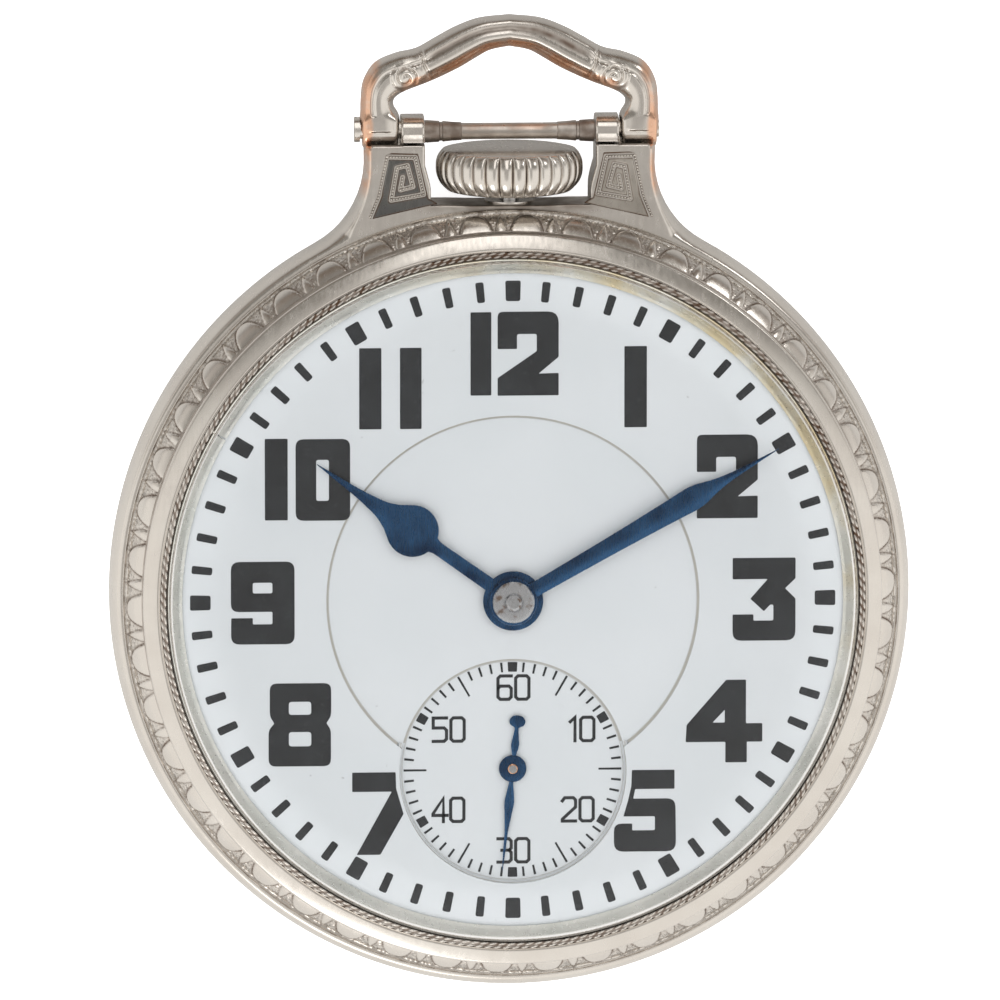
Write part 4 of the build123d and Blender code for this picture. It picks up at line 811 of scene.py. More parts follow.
def bead_mesh(places, half_length, half_width, height, rings=4, sides=10):
    """One small flattened dome for each (x, y, heading), standing on z = 0."""
    lat = np.linspace(0, np.pi / 2, rings)
    lon = np.arange(sides) * 2 * np.pi / sides
    a, b = np.meshgrid(lat, lon, indexing="ij")
    shape = np.stack(
        [half_length * np.cos(a) * np.cos(b), half_width * np.cos(a) * np.sin(b), height * np.sin(a)], -1
    ).reshape(-1, 3)
    base = shape[:sides].copy()
    base[:, 2] = -0.08
    shape = np.concatenate([base, shape])
    quads = grid_faces(rings + 1, sides, rows_wrap=False)
    points, faces = [], []
    for k, (x, y, heading) in enumerate(zip(*places)):
        c, s = math.cos(heading), math.sin(heading)
        across, along, up = shape.T
        points.append(np.stack([x + c * across - s * along, y + s * across + c * along, up], 1))
        faces.append(quads + k * len(shape))
    return np.concatenate(points), np.concatenate(faces)[:, ::-1]


def make_key_lines():
    """The roped lines of the two key panels: a raised rope of small slanted beads."""
    for side, label in ((-1, "left"), (1, "right")):
        points, faces = [], []
        for path in (KEY_PATH, KEY_EDGE):
            line = [(side * x, y) for x, y in path]
            x, y, heading = walk(line, 0.19)
            p, f = bead_mesh((x, y, heading + 0.5), 0.115, 0.085, 0.1)
            faces.append(f + sum(len(q) for q in points))
            points.append(p)
        points = np.concatenate(points)
        points[:, 2] += PANEL_Z - 0.01
        piece = add_mesh(f"key_lines_{label}", points, np.concatenate(faces))
        paint(piece, "dirt_and_painted_shade", smoothstep(0.085, 0.03, points[:, 2] - PANEL_Z) * 0.9)
        finish_piece(piece, "case", CASE)


def make_key_panels():
    """The smooth ground between the roped lines, darker than the case: a thin plate let into each shoulder.
    Its colour is painted reflection, dark grey on the left plate and paler on the right.
    """
    for side, label in ((-1, "left"), (1, "right")):
        edge = [(side * x, y) for x, y in PANEL_EDGE]

        def field(x, y, z, edge=edge):
            plate = outline_distance(x, y, edge)
            plate = soft_max(plate, np.abs(z - PANEL_Z + 0.1) - 0.115, 0.05)
            groove = np.minimum(
                path_distance(x, y, [(side * a, b) for a, b in KEY_PATH]),
                path_distance(x, y, [(side * a, b) for a, b in KEY_EDGE]),
            )
            return soft_max(plate, 0.17 - np.hypot(groove, np.minimum(z - PANEL_Z - 0.02, 0)), 0.03)

        low = (min(p[0] for p in edge) - 0.2, 23.8, PANEL_Z - 0.4)
        high = (max(p[0] for p in edge) + 0.2, 28.5, PANEL_Z + 0.2)
        piece, points = net_object(f"key_panel_{label}", field, low, high, 0.06)
        groove = path_distance(np.abs(points[:, 0]), points[:, 1], KEY_PATH)
        rim = -outline_distance(points[:, 0], points[:, 1], edge)
        paint(piece, "dirt_and_painted_shade", np.maximum(smoothstep(0.26, 0.16, groove), smoothstep(0.13, 0.04, rim)) * 0.95)
        # painted reflection: the left plate takes the dark grey copy of the case metal, the right plate the
        # paler copy
        finish_piece(piece, "case", DARK_REFLECTION_PANEL if side < 0 else PALE_REFLECTION_PANEL)


# ---- bow --------------------------------------------------------------------------------------
BOW_OUTER = (
    (9.4, PIVOT_Y), (9.4, 31.3), (9.22, 32.6), (8.5, 33.72), (7.2, 34.32), (5.9, 34.62), (4.7, 35.28),
    (3.4, 35.98), (1.9, 36.52), (0.0, 36.72),
)
BOW_INNER = (
    (0.0, 34.72), (1.2, 34.48), (2.1, 34.0), (3.2, 33.35), (4.9, 32.55), (6.6, 31.9), (7.25, 31.45),
    (7.3, 31.0), (7.02, 30.45), (BOW_INNER_X, PIVOT_Y),
)
VOLUTE = (6.6, 32.85)


def both_sides(half):
    """A line from its right half, carried over to the left."""
    right = [tuple(p) for p in spline(half, 5)]
    return right + [(-x, y) for x, y in reversed(right[:-1])]


def make_bow():
    outer = both_sides(BOW_OUTER)
    inner = both_sides(BOW_INNER[::-1])
    outline = outer + inner[::-1]

    def field(x, y, z):
        to_outer = path_distance(x, y, outer)
        to_inner = path_distance(x, y, inner)
        edge = outline_distance(x, y, outline)
        share = to_outer / np.maximum(to_outer + to_inner, 1e-6)
        half = np.maximum((to_outer + to_inner) / 2, 0.3)
        across = np.where(edge > 0, 1 + edge / half, np.abs(2 * share - 1))
        off = np.abs(z - CASE_MID_Z)
        arch = smoothstep(5.6, 4.9, np.abs(x))
        groove_half = 0.09 + 0.05 * smoothstep(-4.0, 4.0, x)
        front = 1 - 0.17 * arch * np.exp(-(((share - 0.34) / groove_half) ** 2))
        front -= 0.16 * arch * smoothstep(0.62, 0.8, share)
        leg = 1 - arch
        front -= 0.1 * leg * np.exp(-(((share - 0.36) / 0.05) ** 2)) * (y > 30.4)
        rho = np.hypot(np.abs(x) - VOLUTE[0], y - VOLUTE[1])
        turn = np.arctan2(y - VOLUTE[1], np.abs(x) - VOLUTE[0]) / (2 * np.pi)
        curl = (rho / 0.42 - turn + 0.3) % 1.0
        groove = np.exp(-(((curl - 0.5) / 0.16) ** 2))
        groove = groove * smoothstep(1.02, 0.86, rho) * smoothstep(0.1, 0.2, rho)
        front += 0.05 * smoothstep(1.05, 0.85, rho) - 0.13 * groove
        collar = path_distance(np.abs(x), y, ((5.62, 34.75), (5.4, 33.6), (4.85, 32.5)))
        front -= 0.12 * np.exp(-((collar / 0.09) ** 2))
        section = (np.maximum(across, 0) ** 2.3 + (off / (BOW_HALF * front)) ** 2.3) ** (1 / 2.3) - 1
        body = section * half
        end = np.hypot(np.minimum(y - PIVOT_Y, 0), z - CASE_MID_Z) - BOW_HALF + 0.08
        sides = np.maximum(BOW_INNER_X + 0.08 - np.abs(x), np.abs(x) - 9.3)
        end = soft_max(soft_max(end, sides, 0.3), y - PIVOT_Y - 0.9, 0.4)
        body = np.maximum(body, PIVOT_Y - 0.02 - y)
        joined = soft_min(body, end, 0.35)
        return np.maximum(joined, np.minimum(BOW_INNER_X - 0.01 - np.abs(x), PIVOT_Y + 1.0 - y))

    piece, points = net_object("bow", field, (-9.7, 27.8, 3.3), (9.7, 36.95, 6.5), 0.085)
    x, y, z = points.T
    to_outer = path_distance(x, y, outer)
    to_inner = path_distance(x, y, inner)
    share = to_outer / (to_outer + to_inner)
    front = z > CASE_MID_Z - 0.8
    inner_edge = smoothstep(0.68, 0.76, share) * smoothstep(7.0, 6.4, np.abs(x))
    leg_edge = smoothstep(0.36, 0.24, share) * smoothstep(8.0, 8.6, np.abs(x)) * (z > CASE_MID_Z - 0.4)
    paint(piece, "wear", np.clip((inner_edge + leg_edge * 0.9) * front, 0, 1))
    rho = np.hypot(np.abs(x) - VOLUTE[0], y - VOLUTE[1])
    recess = smoothstep(CASE_MID_Z + 1.24, CASE_MID_Z + 1.1, z) * (rho < 0.95) * (z > CASE_MID_Z + 0.6)
    # darker along the arch's groove, more so to the right, and in the volutes' recesses
    band = np.exp(-(((share - 0.34) / 0.09) ** 2)) * smoothstep(5.4, 4.6, np.abs(x))
    band = band * (0.6 + 0.3 * smoothstep(-4, 4, x))
    paint(piece, "dirt_and_painted_shade", np.clip(0.7 * recess + band, 0, 1))
    return finish_piece(piece, "bow", CASE, ("bow",))


def tube_about_x(name, stations, sides=28):
    """A bar along x from (x, radius) stations, closed at both ends, on the bow's pivot line."""
    stations = np.asarray(stations, float)
    angle = np.arange(sides) * 2 * np.pi / sides
    y = BAR_Y + stations[:, 1, None] * np.cos(angle)
    z = CASE_MID_Z + stations[:, 1, None] * np.sin(angle)
    x = np.broadcast_to(stations[:, 0, None], y.shape)
    points = np.stack([x, y, z], -1).reshape(-1, 3)
    piece = add_mesh(name, points, grid_faces(len(stations), sides, rows_wrap=False)[:, ::-1])
    return piece, points


def make_bar():
    """The bar over the crown: stepped and thicker where it enters the lugs."""
    half = [
        (0.0, 0.52), (2.0, 0.52), (3.0, 0.53), (3.05, 0.57), (3.6, 0.6), (4.2, 0.66),
        (4.25, 0.6), (4.4, 0.6), (4.45, 0.67), (5.2, 0.72), (5.38, 0.7), (5.38, 0.01),
    ]
    stations = [(-x, r) for x, r in reversed(half)] + half[1:]
    piece, points = tube_about_x("pendant_bar", stations)
    sharpen(piece, 35)
    x, y, z = points.T
    top = smoothstep(0.0, 0.45, z - CASE_MID_Z) * smoothstep(-0.05, 0.4, y - BAR_Y)
    paint(piece, "wear", top * (np.abs(x) < 3.0) * 0.5)
    paint(piece, "dirt_and_painted_shade", 0.45 + 0.3 * (np.abs(x) > 3.0))
    return finish_piece(piece, "case", CASE, ("pendant_bar",))


# ---- crown ------------------------------------------------------------------------------------
def make_crown():
    """The crown: a barrel of rounded ribs with narrow grooves between them, and a smooth end disc."""
    end = [(CROWN_HIGH_Y - drop, r) for drop, r in ((0.02, 0.02), (0, 1.6), (0.02, 3.3), (0.1, 3.95))]
    rows = 22
    t = np.linspace(0, 1, rows)
    shape = []
    for s in t:
        y = CROWN_HIGH_Y - 0.16 - s * (CROWN_HIGH_Y - CROWN_LOW_Y - 0.3)
        swell = 1 - (abs(s - 0.42) / (0.42 if s < 0.42 else 0.58)) ** 2.6 * (0.09 if s < 0.42 else 0.16)
        shape.append((y, CROWN_RADIUS * swell))
    back = [(CROWN_LOW_Y + 0.06, 3.55), (CROWN_LOW_Y, 3.2), (CROWN_LOW_Y, 0.7), (CROWN_LOW_Y + 0.1, 0.02)]
    profile = np.array(end + shape + back)
    steps = CROWN_RIBS * 14
    angle = np.arange(steps) * 360 / steps
    around, along = np.meshgrid(angle, np.arange(len(profile)), indexing="ij")
    s = (along - len(end)) / (rows - 1)
    cut = np.clip(np.minimum(s, 1 - s) / 0.1, 0, 1) * ((s >= 0) & (s <= 1))
    phase = np.abs((around / 360 * CROWN_RIBS) % 1 - 0.5) * 2
    rib = np.sqrt(np.maximum(0, 1 - phase**2.6))
    depth = 0.42 * (0.55 + 0.45 * s)
    radius = profile[along, 1] - depth * (1 - rib) * np.sqrt(cut)
    y = profile[along, 0]
    a = np.radians(around)
    points = np.stack([radius * np.sin(a), y, CASE_MID_Z + radius * np.cos(a)], -1).reshape(-1, 3)
    piece = add_mesh("crown", points, grid_faces(steps, len(profile)))
    sharpen(piece, 60)
    paint(piece, "dirt_and_painted_shade", (smoothstep(0.55, 0.1, rib) * cut * 0.75).ravel())
    return finish_piece(piece, "winder", CASE, ("crown",))


# ---- crystal ----------------------------------------------------------------------------------
def dome(edge_radius, edge_z, apex_z, count=26):
    """A shallow dome from its edge up to its middle."""
    radius = np.linspace(edge_radius, 0.02, count)
    return [(r, apex_z - (apex_z - edge_z) * (r / edge_radius) ** 2) for r in radius]


def make_crystal():
    outer = dome(21.2, 10.75, 12.14)[::-1]
    inner = dome(20.6, 10.3, 11.35)
    edge = [(21.5, 10.6), (21.72, 10.2), (21.74, 9.85), (21.5, 9.8), (20.9, 10.15)]
    piece, _ = revolve("crystal", outer + edge + inner, 240)
    sharpen(piece, 40)
    return finish_piece(piece, "glass", GLASS, ("crystal",))


# ---- dial printing ----------------------------------------------------------------------------
def rounded(corners, default=0.06, count=5):
    """An outline of corners (x, y) or (x, y, radius), each rounded off."""
    out = []
    total = len(corners)
    for k, corner in enumerate(corners):
        here = np.array(corner[:2], float)
        radius = corner[2] if len(corner) > 2 else default
        before = np.array(corners[k - 1][:2], float) - here
        after = np.array(corners[(k + 1) % total][:2], float) - here
        reach_before, reach_after = np.linalg.norm(before), np.linalg.norm(after)
        reach = min(radius, reach_before * 0.48, reach_after * 0.48)
        a, b = here + before / reach_before * reach, here + after / reach_after * reach
        for t in np.linspace(0, 1, count):
            out.append(tuple((1 - t) ** 2 * a + 2 * t * (1 - t) * here + t**2 * b))
    return out


def box(x0, x1, y0, y1, radius=0.06):
    return [(x0, y0, radius), (x1, y0, radius), (x1, y1, radius), (x0, y1, radius)]


def printed(name, shapes, low, body="case"):
    """Flat paint on the dial: each shape is an outline with its holes."""
    curve = bpy.data.curves.new(name, "CURVE")
    curve.dimensions = "2D"
    curve.fill_mode = "BOTH"
    curve.extrude = PRINT_HEIGHT
    for outline in (o for shape in shapes for o in shape):
        line = curve.splines.new("POLY")
        line.points.add(len(outline) - 1)
        for point, (x, y) in zip(line.points, outline):
            point.co = (x, y, 0, 1)
        line.use_cyclic_u = True
    holder = bpy.data.objects.new(name + "_curve", curve)
    bpy.context.scene.collection.objects.link(holder)
    mesh = bpy.data.meshes.new_from_object(holder)
    bpy.data.objects.remove(holder)
    size = np.empty(len(mesh.vertices) * 3)
    mesh.vertices.foreach_get("co", size)
    points = size.reshape(-1, 3)
    points[:, 2] += low
    mesh.vertices.foreach_set("co", (points * MM).ravel())
    mesh.name = name
    mesh.materials.clear()
    piece = bpy.data.objects.new(name, mesh)
    bpy.context.scene.collection.objects.link(piece)
    return finish_piece(piece, body, PRINT)


TWO = (
    (0, 5.34, 0.35), (3.85, 5.34, 0.7), (3.85, 2.45), (2.59, 1.39), (3.85, 1.42), (3.85, 0.0), (0, 0),
    (0, 1.12),
    (2.47, 2.82), (2.47, 3.92, 0.15), (1.22, 3.92, 0.15), (1.22, 2.97), (0, 2.97),
)
THREE = (
    (13.9, 2.58), (17.88, 2.58, 0.1), (17.88, 1.26), (17.22, 0.62), (17.88, -0.04), (17.88, -2.72, 0.6),
    (13.9, -2.72, 0.55), (13.9, -1.04), (15.22, -1.04), (15.22, -1.44), (16.48, -1.44, 0.1),
    (16.48, -0.42, 0.25),
    (16.28, -0.42), (15.88, -0.84), (15.02, -0.04), (16.12, 1.22), (13.9, 1.22),
)
FOUR = (
    (13.5, -5.22), (14.76, -5.22), (14.76, -8.02), (15.8, -8.02), (15.8, -9.2), (14.82, -9.2),
    (14.82, -10.52),
    (13.46, -10.52), (13.46, -9.2), (10.94, -9.2), (11.0, -8.1),
)
FIVE = (
    (7.54, -10.96), (10.24, -10.96), (10.24, -12.18), (7.75, -12.18), (7.62, -12.8), (10.3, -12.8, 0.55),
    (10.34, -16.2, 0.6), (6.4, -16.2, 0.6), (6.4, -14.4, 0.5), (7.56, -14.4), (7.56, -14.84),
    (9.0, -14.84, 0.1),
    (9.0, -13.94, 0.1), (7.0, -13.94), (7.3, -12.9), (7.5, -12.0),
)
SEVEN = (
    (-10.18, -10.96), (-7.43, -10.96), (-7.4, -12.0), (-6.93, -13.64), (-8.4, -16.25), (-9.9, -16.25),
    (-7.67, -12.2),
    (-10.18, -12.2),
)
NINE = (
    (-17.82, 2.6, 0.55), (-13.8, 2.6, 0.55), (-13.8, -2.68, 0.55), (-17.82, -2.68, 0.55), (-17.8, -1.0),
    (-16.44, -1.0),
    (-16.44, -1.4), (-15.2, -1.4, 0.1), (-15.2, -0.6, 0.1), (-17.82, -0.6, 0.5),
)
EIGHT = (
    (-15.38, -5.2, 0.45), (-11.5, -5.2, 0.45), (-11.5, -7.3, 0.35), (-11.8, -7.76), (-11.52, -8.2, 0.35),
    (-11.52, -10.52, 0.45), (-15.46, -10.52, 0.45), (-15.46, -8.2, 0.35), (-15.1, -7.76),
    (-15.38, -7.3, 0.35),
)


def moved(shape, dx, dy):
    return [(c[0] + dx, c[1] + dy, *c[2:]) for c in shape]


def numeral_shapes():
    bars = ((-2.68, -1.37, 13.1, 18.4), (-9.7, -8.3, 11.0, 16.17), (-7.13, -5.77, 11.0, 16.17))
    bars += ((7.03, 8.45, 11.0, 16.17), (-15.66, -14.22, 5.24, 10.44))
    shapes = [[rounded(box(*b))] for b in bars]
    shapes.append([rounded(moved(TWO, -0.97, 13.08))])
    shapes.append([rounded(moved(TWO, 11.62, 5.14))])
    zero, zero_hole = box(-13.72, -10.28, 5.2, 10.4, 0.5), box(-12.42, -11.62, 6.46, 9.08, 0.15)
    shapes.append([rounded(zero), rounded(zero_hole)])
    shapes.append([rounded(THREE)])
    shapes.append([rounded(FOUR), rounded(((13.42, -7.14), (13.42, -7.96), (12.64, -7.96)))])
    shapes += [[rounded(FIVE)], [rounded(SEVEN)]]
    shapes.append([rounded(NINE), rounded(box(-16.44, -15.2, 0.58, 1.26, 0.12))])
    shapes.append(
        [
            rounded(EIGHT),
            rounded(box(-14.18, -12.76, -7.22, -6.38, 0.2)),
            rounded(box(-14.18, -12.76, -9.24, -8.32, 0.2)),
        ]
    )
    return shapes


def radial_mark(centre, inner, outer, half_inner, half_outer, angle, round_off=0.05):
    """A tick between two radii, in degrees clockwise from 12."""
    s, c = clockwise(angle)
    corners = ((-half_inner, inner), (half_inner, inner), (half_outer, outer), (-half_outer, outer))
    turned = [(centre[0] + x * c + r * s, centre[1] - x * s + r * c, round_off) for x, r in corners]
    return rounded(turned, count=3)


def minute_marks():
    shapes = []
    for minute in range(60):
        wide = 0.49 if minute % 5 == 0 else 0.26
        shapes.append([radial_mark((0, 0), 19.1, 20.4, wide * 0.93, wide, minute * 6.0, 0.12)])
    return shapes


def seconds_marks():
    """The ring of small marks: a block every ten seconds, a long thin mark at the odd fives."""
    shapes = []
    for second in range(60):
        angle = second * 6.0
        if second % 10 == 0:
            shapes.append([radial_mark(SECONDS_CENTRE, 6.28, 6.9, 0.28, 0.31, angle)])
        elif second % 5 == 0:
            shapes.append([radial_mark(SECONDS_CENTRE, 5.45, 6.9, 0.06, 0.07, angle, 0.02)])
        else:
            shapes.append([radial_mark(SECONDS_CENTRE, 6.28, 6.9, 0.065, 0.075, angle, 0.02)])
    return shapes


THIN_GLYPHS = {
    "0": [[
        (0.15, 0), (0.69, 0), (0.84, 0.15), (0.84, 1.35), (0.69, 1.5), (0.15, 1.5), (0, 1.35), (0, 0.15),
        (0.15, 0),
    ]],
    "1": [[(0, 1.22), (0.3, 1.5), (0.3, 0)]],
    "2": [[(0, 1.3), (0.15, 1.5), (0.7, 1.5), (0.84, 1.35), (0.84, 0.9), (0, 0.12), (0, 0), (0.84, 0)]],
    "3": [[
        (0, 1.5), (0.69, 1.5), (0.84, 1.35), (0.84, 0.9), (0.7, 0.76), (0.84, 0.62), (0.84, 0.15),
        (0.69, 0), (0, 0),
    ], [(0.25, 0.76), (0.7, 0.76)]],
    "4": [[(0.66, 0), (0.66, 1.5), (0, 0.5), (0, 0.4), (0.9, 0.4)]],
    "5": [[(0.84, 1.5), (0, 1.5), (0, 0.86), (0.69, 0.86), (0.84, 0.71), (0.84, 0.15), (0.69, 0), (0, 0)]],
    "6": [[
        (0.15, 0), (0.69, 0), (0.84, 0.15), (0.84, 0.7), (0.69, 0.85), (0.15, 0.85), (0, 0.7), (0, 0.15),
        (0.15, 0),
    ], [(0, 0.7), (0, 1.35), (0.15, 1.5), (0.84, 1.5)]],
}
STROKE = 0.2


def stroke_outline(line):
    """The band of one stroke's width round a line of points, with mitred corners."""
    line = np.asarray(line, float)
    closed = np.allclose(line[0], line[-1])
    if closed:
        line = line[:-1]
    before = line - np.roll(line, 1, 0)
    after = np.roll(line, -1, 0) - line
    if not closed:
        before[0], after[-1] = after[0], before[-1]
    before /= np.linalg.norm(before, axis=1, keepdims=True)
    after /= np.linalg.norm(after, axis=1, keepdims=True)
    mean = before + after
    mean /= np.linalg.norm(mean, axis=1, keepdims=True)
    normal = np.stack([-mean[:, 1], mean[:, 0]], 1)
    reach = STROKE / 2 / np.maximum((mean * after).sum(1), 0.45)[:, None]
    left, right = line + normal * reach, line - normal * reach
    if closed:
        outer, inner = (left, right) if abs(area(left)) > abs(area(right)) else (right, left)
        return [[tuple(p) for p in outer], [tuple(p) for p in inner]]
    left[0] -= before[0] * STROKE / 2
    right[0] -= before[0] * STROKE / 2
    left[-1] += after[-1] * STROKE / 2
    right[-1] += after[-1] * STROKE / 2
    return [[tuple(p) for p in np.concatenate([left, right[::-1]])]]


def area(points):
    x, y = points.T
    return 0.5 * float(np.sum(x * np.roll(y, -1) - y * np.roll(x, -1)))


def make_seconds_figures():
    """The figures of the small dial, drawn with one thin stroke."""
    places = {
        "60": (-0.92, -6.44),
        "10": (3.66, -9.14),
        "20": (3.16, -14.3),
        "30": (-0.92, -16.9),
        "40": (-5.04, -14.26),
        "50": (-5.02, -9.1),
    }
    for text, (x, y) in places.items():
        parts = []
        advance = 0.0
        for digit in text:
            for line in THIN_GLYPHS[digit]:
                moved_line = [(x + advance + a, y + b) for a, b in line]
                parts.append(stroke_outline(moved_line))
            advance += 0.66 if digit == "1" else 1.12
        for index, shape in enumerate(parts):
            printed(f"seconds_figure_{text}_{index}", [shape], SECONDS_Z)


def make_printing():
    printed("dial_numerals", numeral_shapes(), DIAL_Z)
    printed("minute_track", minute_marks(), DIAL_Z)
    printed("seconds_track", seconds_marks(), SECONDS_Z)
    make_seconds_figures()


# ---- dial edges -------------------------------------------------------------------------------
def ring_line(name, centre, profile, start, end, steps, material, values):
    """One soft edge of the enamel, with painted shadow: browner where values is higher."""
    piece = part_ring(name, centre, profile, start, end, steps)
    paint(piece, "edge", np.tile(values, steps))
    return finish_piece(piece, "case", material)


def make_dial_edges():
    """The soft fired edges of the enamel, round the centre disc and down to the small dial, each with a
    painted shadow line.
    """
    centre_edge = [(11.62, 9.1), (11.62, 9.152), (11.7, 9.155), (11.86, 9.36), (11.95, 9.403), (11.98, 9.3)]
    ring_line("centre_edge", (0, 0), centre_edge, -141.5, 141.5, 300, ENAMEL, (0, 0.25, 0.8, 0.45, 0.1, 0))
    low_edge = [(6.98, 8.8), (6.98, 8.855), (7.08, 8.86), (7.3, 9.2), (7.42, 9.404), (7.46, 9.3)]
    ring_line("seconds_edge", (0, -11.0), low_edge, 75, 285, 240, ENAMEL, (0, 0.2, 0.75, 0.5, 0.1, 0))
    high_edge = [(6.98, 8.8), (6.98, 8.855), (7.08, 8.86), (7.24, 9.08), (7.32, 9.154), (7.36, 9.0)]
    ring_line("seconds_edge_top", (0, -11.0), high_edge, -75, 75, 180, ENAMEL, (0, 0.2, 0.7, 0.45, 0.1, 0))


# ---- hands ------------------------------------------------------------------------------------
def hand_mesh(name, stations, low, thick, ridge, pivot, bearing, body, nodes=()):
    """A hand lofted along its length: (distance, half width) stations with a raised middle line."""
    stations = np.asarray(stations, float)
    s, w = stations[:, 0, None], stations[:, 1, None]
    crest = np.minimum(ridge, w * 0.45)
    across = np.concatenate([-w, -w, -w * 0.5, 0 * w, w * 0.5, w, w], 1)
    side = 0 * w + thick
    slope = thick + crest * 0.55
    up = np.concatenate([0 * w, side, slope, thick + crest, slope, side, 0 * w], 1)
    along = np.broadcast_to(s, across.shape)
    sn, cs = clockwise(bearing)
    x = pivot[0] + along * sn + across * cs
    y = pivot[1] + along * cs - across * sn
    points = np.stack([x, y, low + up], -1).reshape(-1, 3)
    faces = grid_faces(len(stations), 7, rows_wrap=False)
    piece = add_mesh(name, points, faces)
    sharpen(piece, 22)
    # painted highlight: the crest numbers across the hand are high on one slope and its edge, low on the
    # other
    paint(piece, "crest", np.tile((0.0, 0.1, 0.0, 0.35, 0.75, 0.9, 0.2), len(stations)))
    return finish_piece(piece, body, BLUED, nodes)


def smooth_stations(pairs, count):
    """A smooth line through (distance, half width) pairs, that never gets thinner than a real tip."""
    return [(a, max(b, TIP_HALF)) for a, b in spline(pairs, count)]


def hour_stations():
    stem = [(1.2, 0.44), (3.0, 0.43), (5.4, 0.41), (5.9, 0.42)]
    bulb = []
    for a in np.linspace(195, 395, 34):
        along = 7.8 + 1.65 * math.cos(math.radians(a - 15))
        wide = 1.65 * abs(math.sin(math.radians(a - 15)))
        bulb.append((along, wide))
    bulb = [(a, b) for a, b in sorted(bulb) if b > 0.43 and a < 8.75]
    ogee = [(9.0, 1.18), (9.5, 0.86), (10.2, 0.58), (11.0, 0.42), (12.2, 0.26), (13.8, 0.13), (15.2, 0.02)]
    return stem + bulb + smooth_stations(ogee, 6)


def minute_stations():
    blade = [
        (1.2, 0.46), (4.0, 0.5), (8.0, 0.58), (11.5, 0.7), (12.9, 0.76), (13.7, 0.68), (14.6, 0.44),
        (15.8, 0.24), (17.4, 0.12), (19.35, 0.015),
    ]
    return smooth_stations(blade, 12)


def seconds_stations():
    """A round counterweight behind the axis and a slim blade in front of it."""
    tail = [
        (-3.42, TIP_HALF), (-3.36, 0.3), (-3.1, 0.5), (-2.8, 0.42), (-2.62, 0.14), (-2.2, 0.16),
        (-1.5, 0.25), (-0.9, 0.13), (-0.5, 0.1),
    ]
    front = [(0.5, 0.1), (0.9, 0.12), (1.6, 0.24), (2.2, 0.3), (3.0, 0.22), (4.2, 0.1), (5.4, 0.07),
        (6.56, 0.015)]
    return smooth_stations(tail + front, 6)


def turned_disc(name, profile, pivot, body, material, nodes=(), steps=72):
    piece, _ = revolve(name, profile, steps, centre=pivot)
    sharpen(piece, 35)
    return finish_piece(piece, body, material, nodes)


def make_hands():
    hand_mesh("hour_hand", hour_stations(), 9.6, 0.1, 0.05, (0, 0), HOUR_AT, "hour", ("hour_hand",))
    hour_boss = [(0.6, 9.6), (1.88, 9.6), (1.9, 9.66), (1.84, 9.73), (1.6, 9.75), (0.6, 9.75)]
    turned_disc("hour_boss", hour_boss, (0, 0), "hour", BLUED)
    stations = minute_stations()
    hand_mesh("minute_hand", stations, 9.95, 0.12, 0.07, (0, 0), MINUTE_AT, "minute", ("minute_hand",))
    minute_ring = [(1.2, 9.95), (1.5, 9.95), (1.52, 10.05), (1.46, 10.15), (1.3, 10.17), (1.2, 10.1)]
    turned_disc("minute_collar", minute_ring, (0, 0), "minute", BLUED)
    boss = [
        (0.02, 9.9), (1.3, 9.9), (1.32, 10.3), (1.26, 10.38), (1.1, 10.4), (0.62, 10.4), (0.6, 10.36),
        (0.57, 10.36), (0.55, 10.46), (0.5, 10.53), (0.34, 10.55), (0.33, 10.5), (0.3, 10.5),
        (0.29, 10.58), (0.2, 10.64), (0.02, 10.65),
    ]
    nodes = ("minute_hand_boss", "cannon_pinion")
    turned_disc("minute_boss", boss, (0, 0), "minute", STAINED, nodes)
    stations = seconds_stations()
    nodes = ("seconds_hand",)
    hand_mesh("seconds_hand", stations, 9.02, 0.08, 0.04, SECONDS_PIVOT, SECONDS_AT, "seconds", nodes)
    hub = [(0.3, 9.02), (0.85, 9.02), (0.87, 9.1), (0.8, 9.19), (0.5, 9.24), (0.34, 9.24), (0.3, 9.2)]
    turned_disc("seconds_hub", hub, SECONDS_PIVOT, "seconds", BLUED, steps=48)
    pin = [(0.02, 9.0), (0.31, 9.0), (0.31, 9.24), (0.25, 9.27), (0.14, 9.27), (0.12, 9.2), (0.02, 9.2)]
    turned_disc("seconds_pin", pin, SECONDS_PIVOT, "seconds", COPPER, steps=40)


# ---- materials of the CAD nodes that stay -----------------------------------------------------
def dress_cad_nodes():
    by_slot = {
        "case_metal": CASE,
        "steel": STEEL,
        "blued_steel": BLUED,
        "gilt_brass": GILT,
        "nickel_plate": NICKEL,
        "ruby": RUBY,
        "dial_enamel": ENAMEL,
        "dial_print": PRINT,
        "copper": COPPER,
        "crystal_glass": GLASS,
    }
    slots = {part["node"]: part["material_slot"] for part in frame["record"]["subparts"]}
    for name, node in frame["nodes"].items():
        node.data.materials.clear()
        node.data.materials.append(by_slot[slots[name]])
    frame["nodes"]["reflector_ring"].data.materials[0] = REFLECTOR
    for name in ("dial_outer", "dial_centre", "dial_seconds"):
        soften(frame["nodes"][name], 0.06)


def soften(node, width):
    """Rounds the sharp edges of a node that stays as the CAD made it."""
    bevel = node.modifiers.new("soft_edge", "BEVEL")
    bevel.width = width * MM
    bevel.segments = 2
    bevel.limit_method = "ANGLE"
    bevel.angle_limit = math.radians(40)


# ---- floor, light and camera ------------------------------------------------------------------
ROOM_LIGHT = tint(1.3, 1.3, 1.3)
TENT_WHITE = tint(1.02, 1.0, 0.965)
SCREEN_DARK = tint(0.17, 0.13, 0.1)
FLAG_GREY = tint(0.27, 0.26, 0.24)
LAMP_WHITE = tint(1.7, 1.67, 1.63)
CEILING_GREY = tint(0.5, 0.485, 0.465)
FLOOR_HALF = 0.6  # metres
FLOOR_DROP = -0.00002
FLOOR_GLOW = 0.75


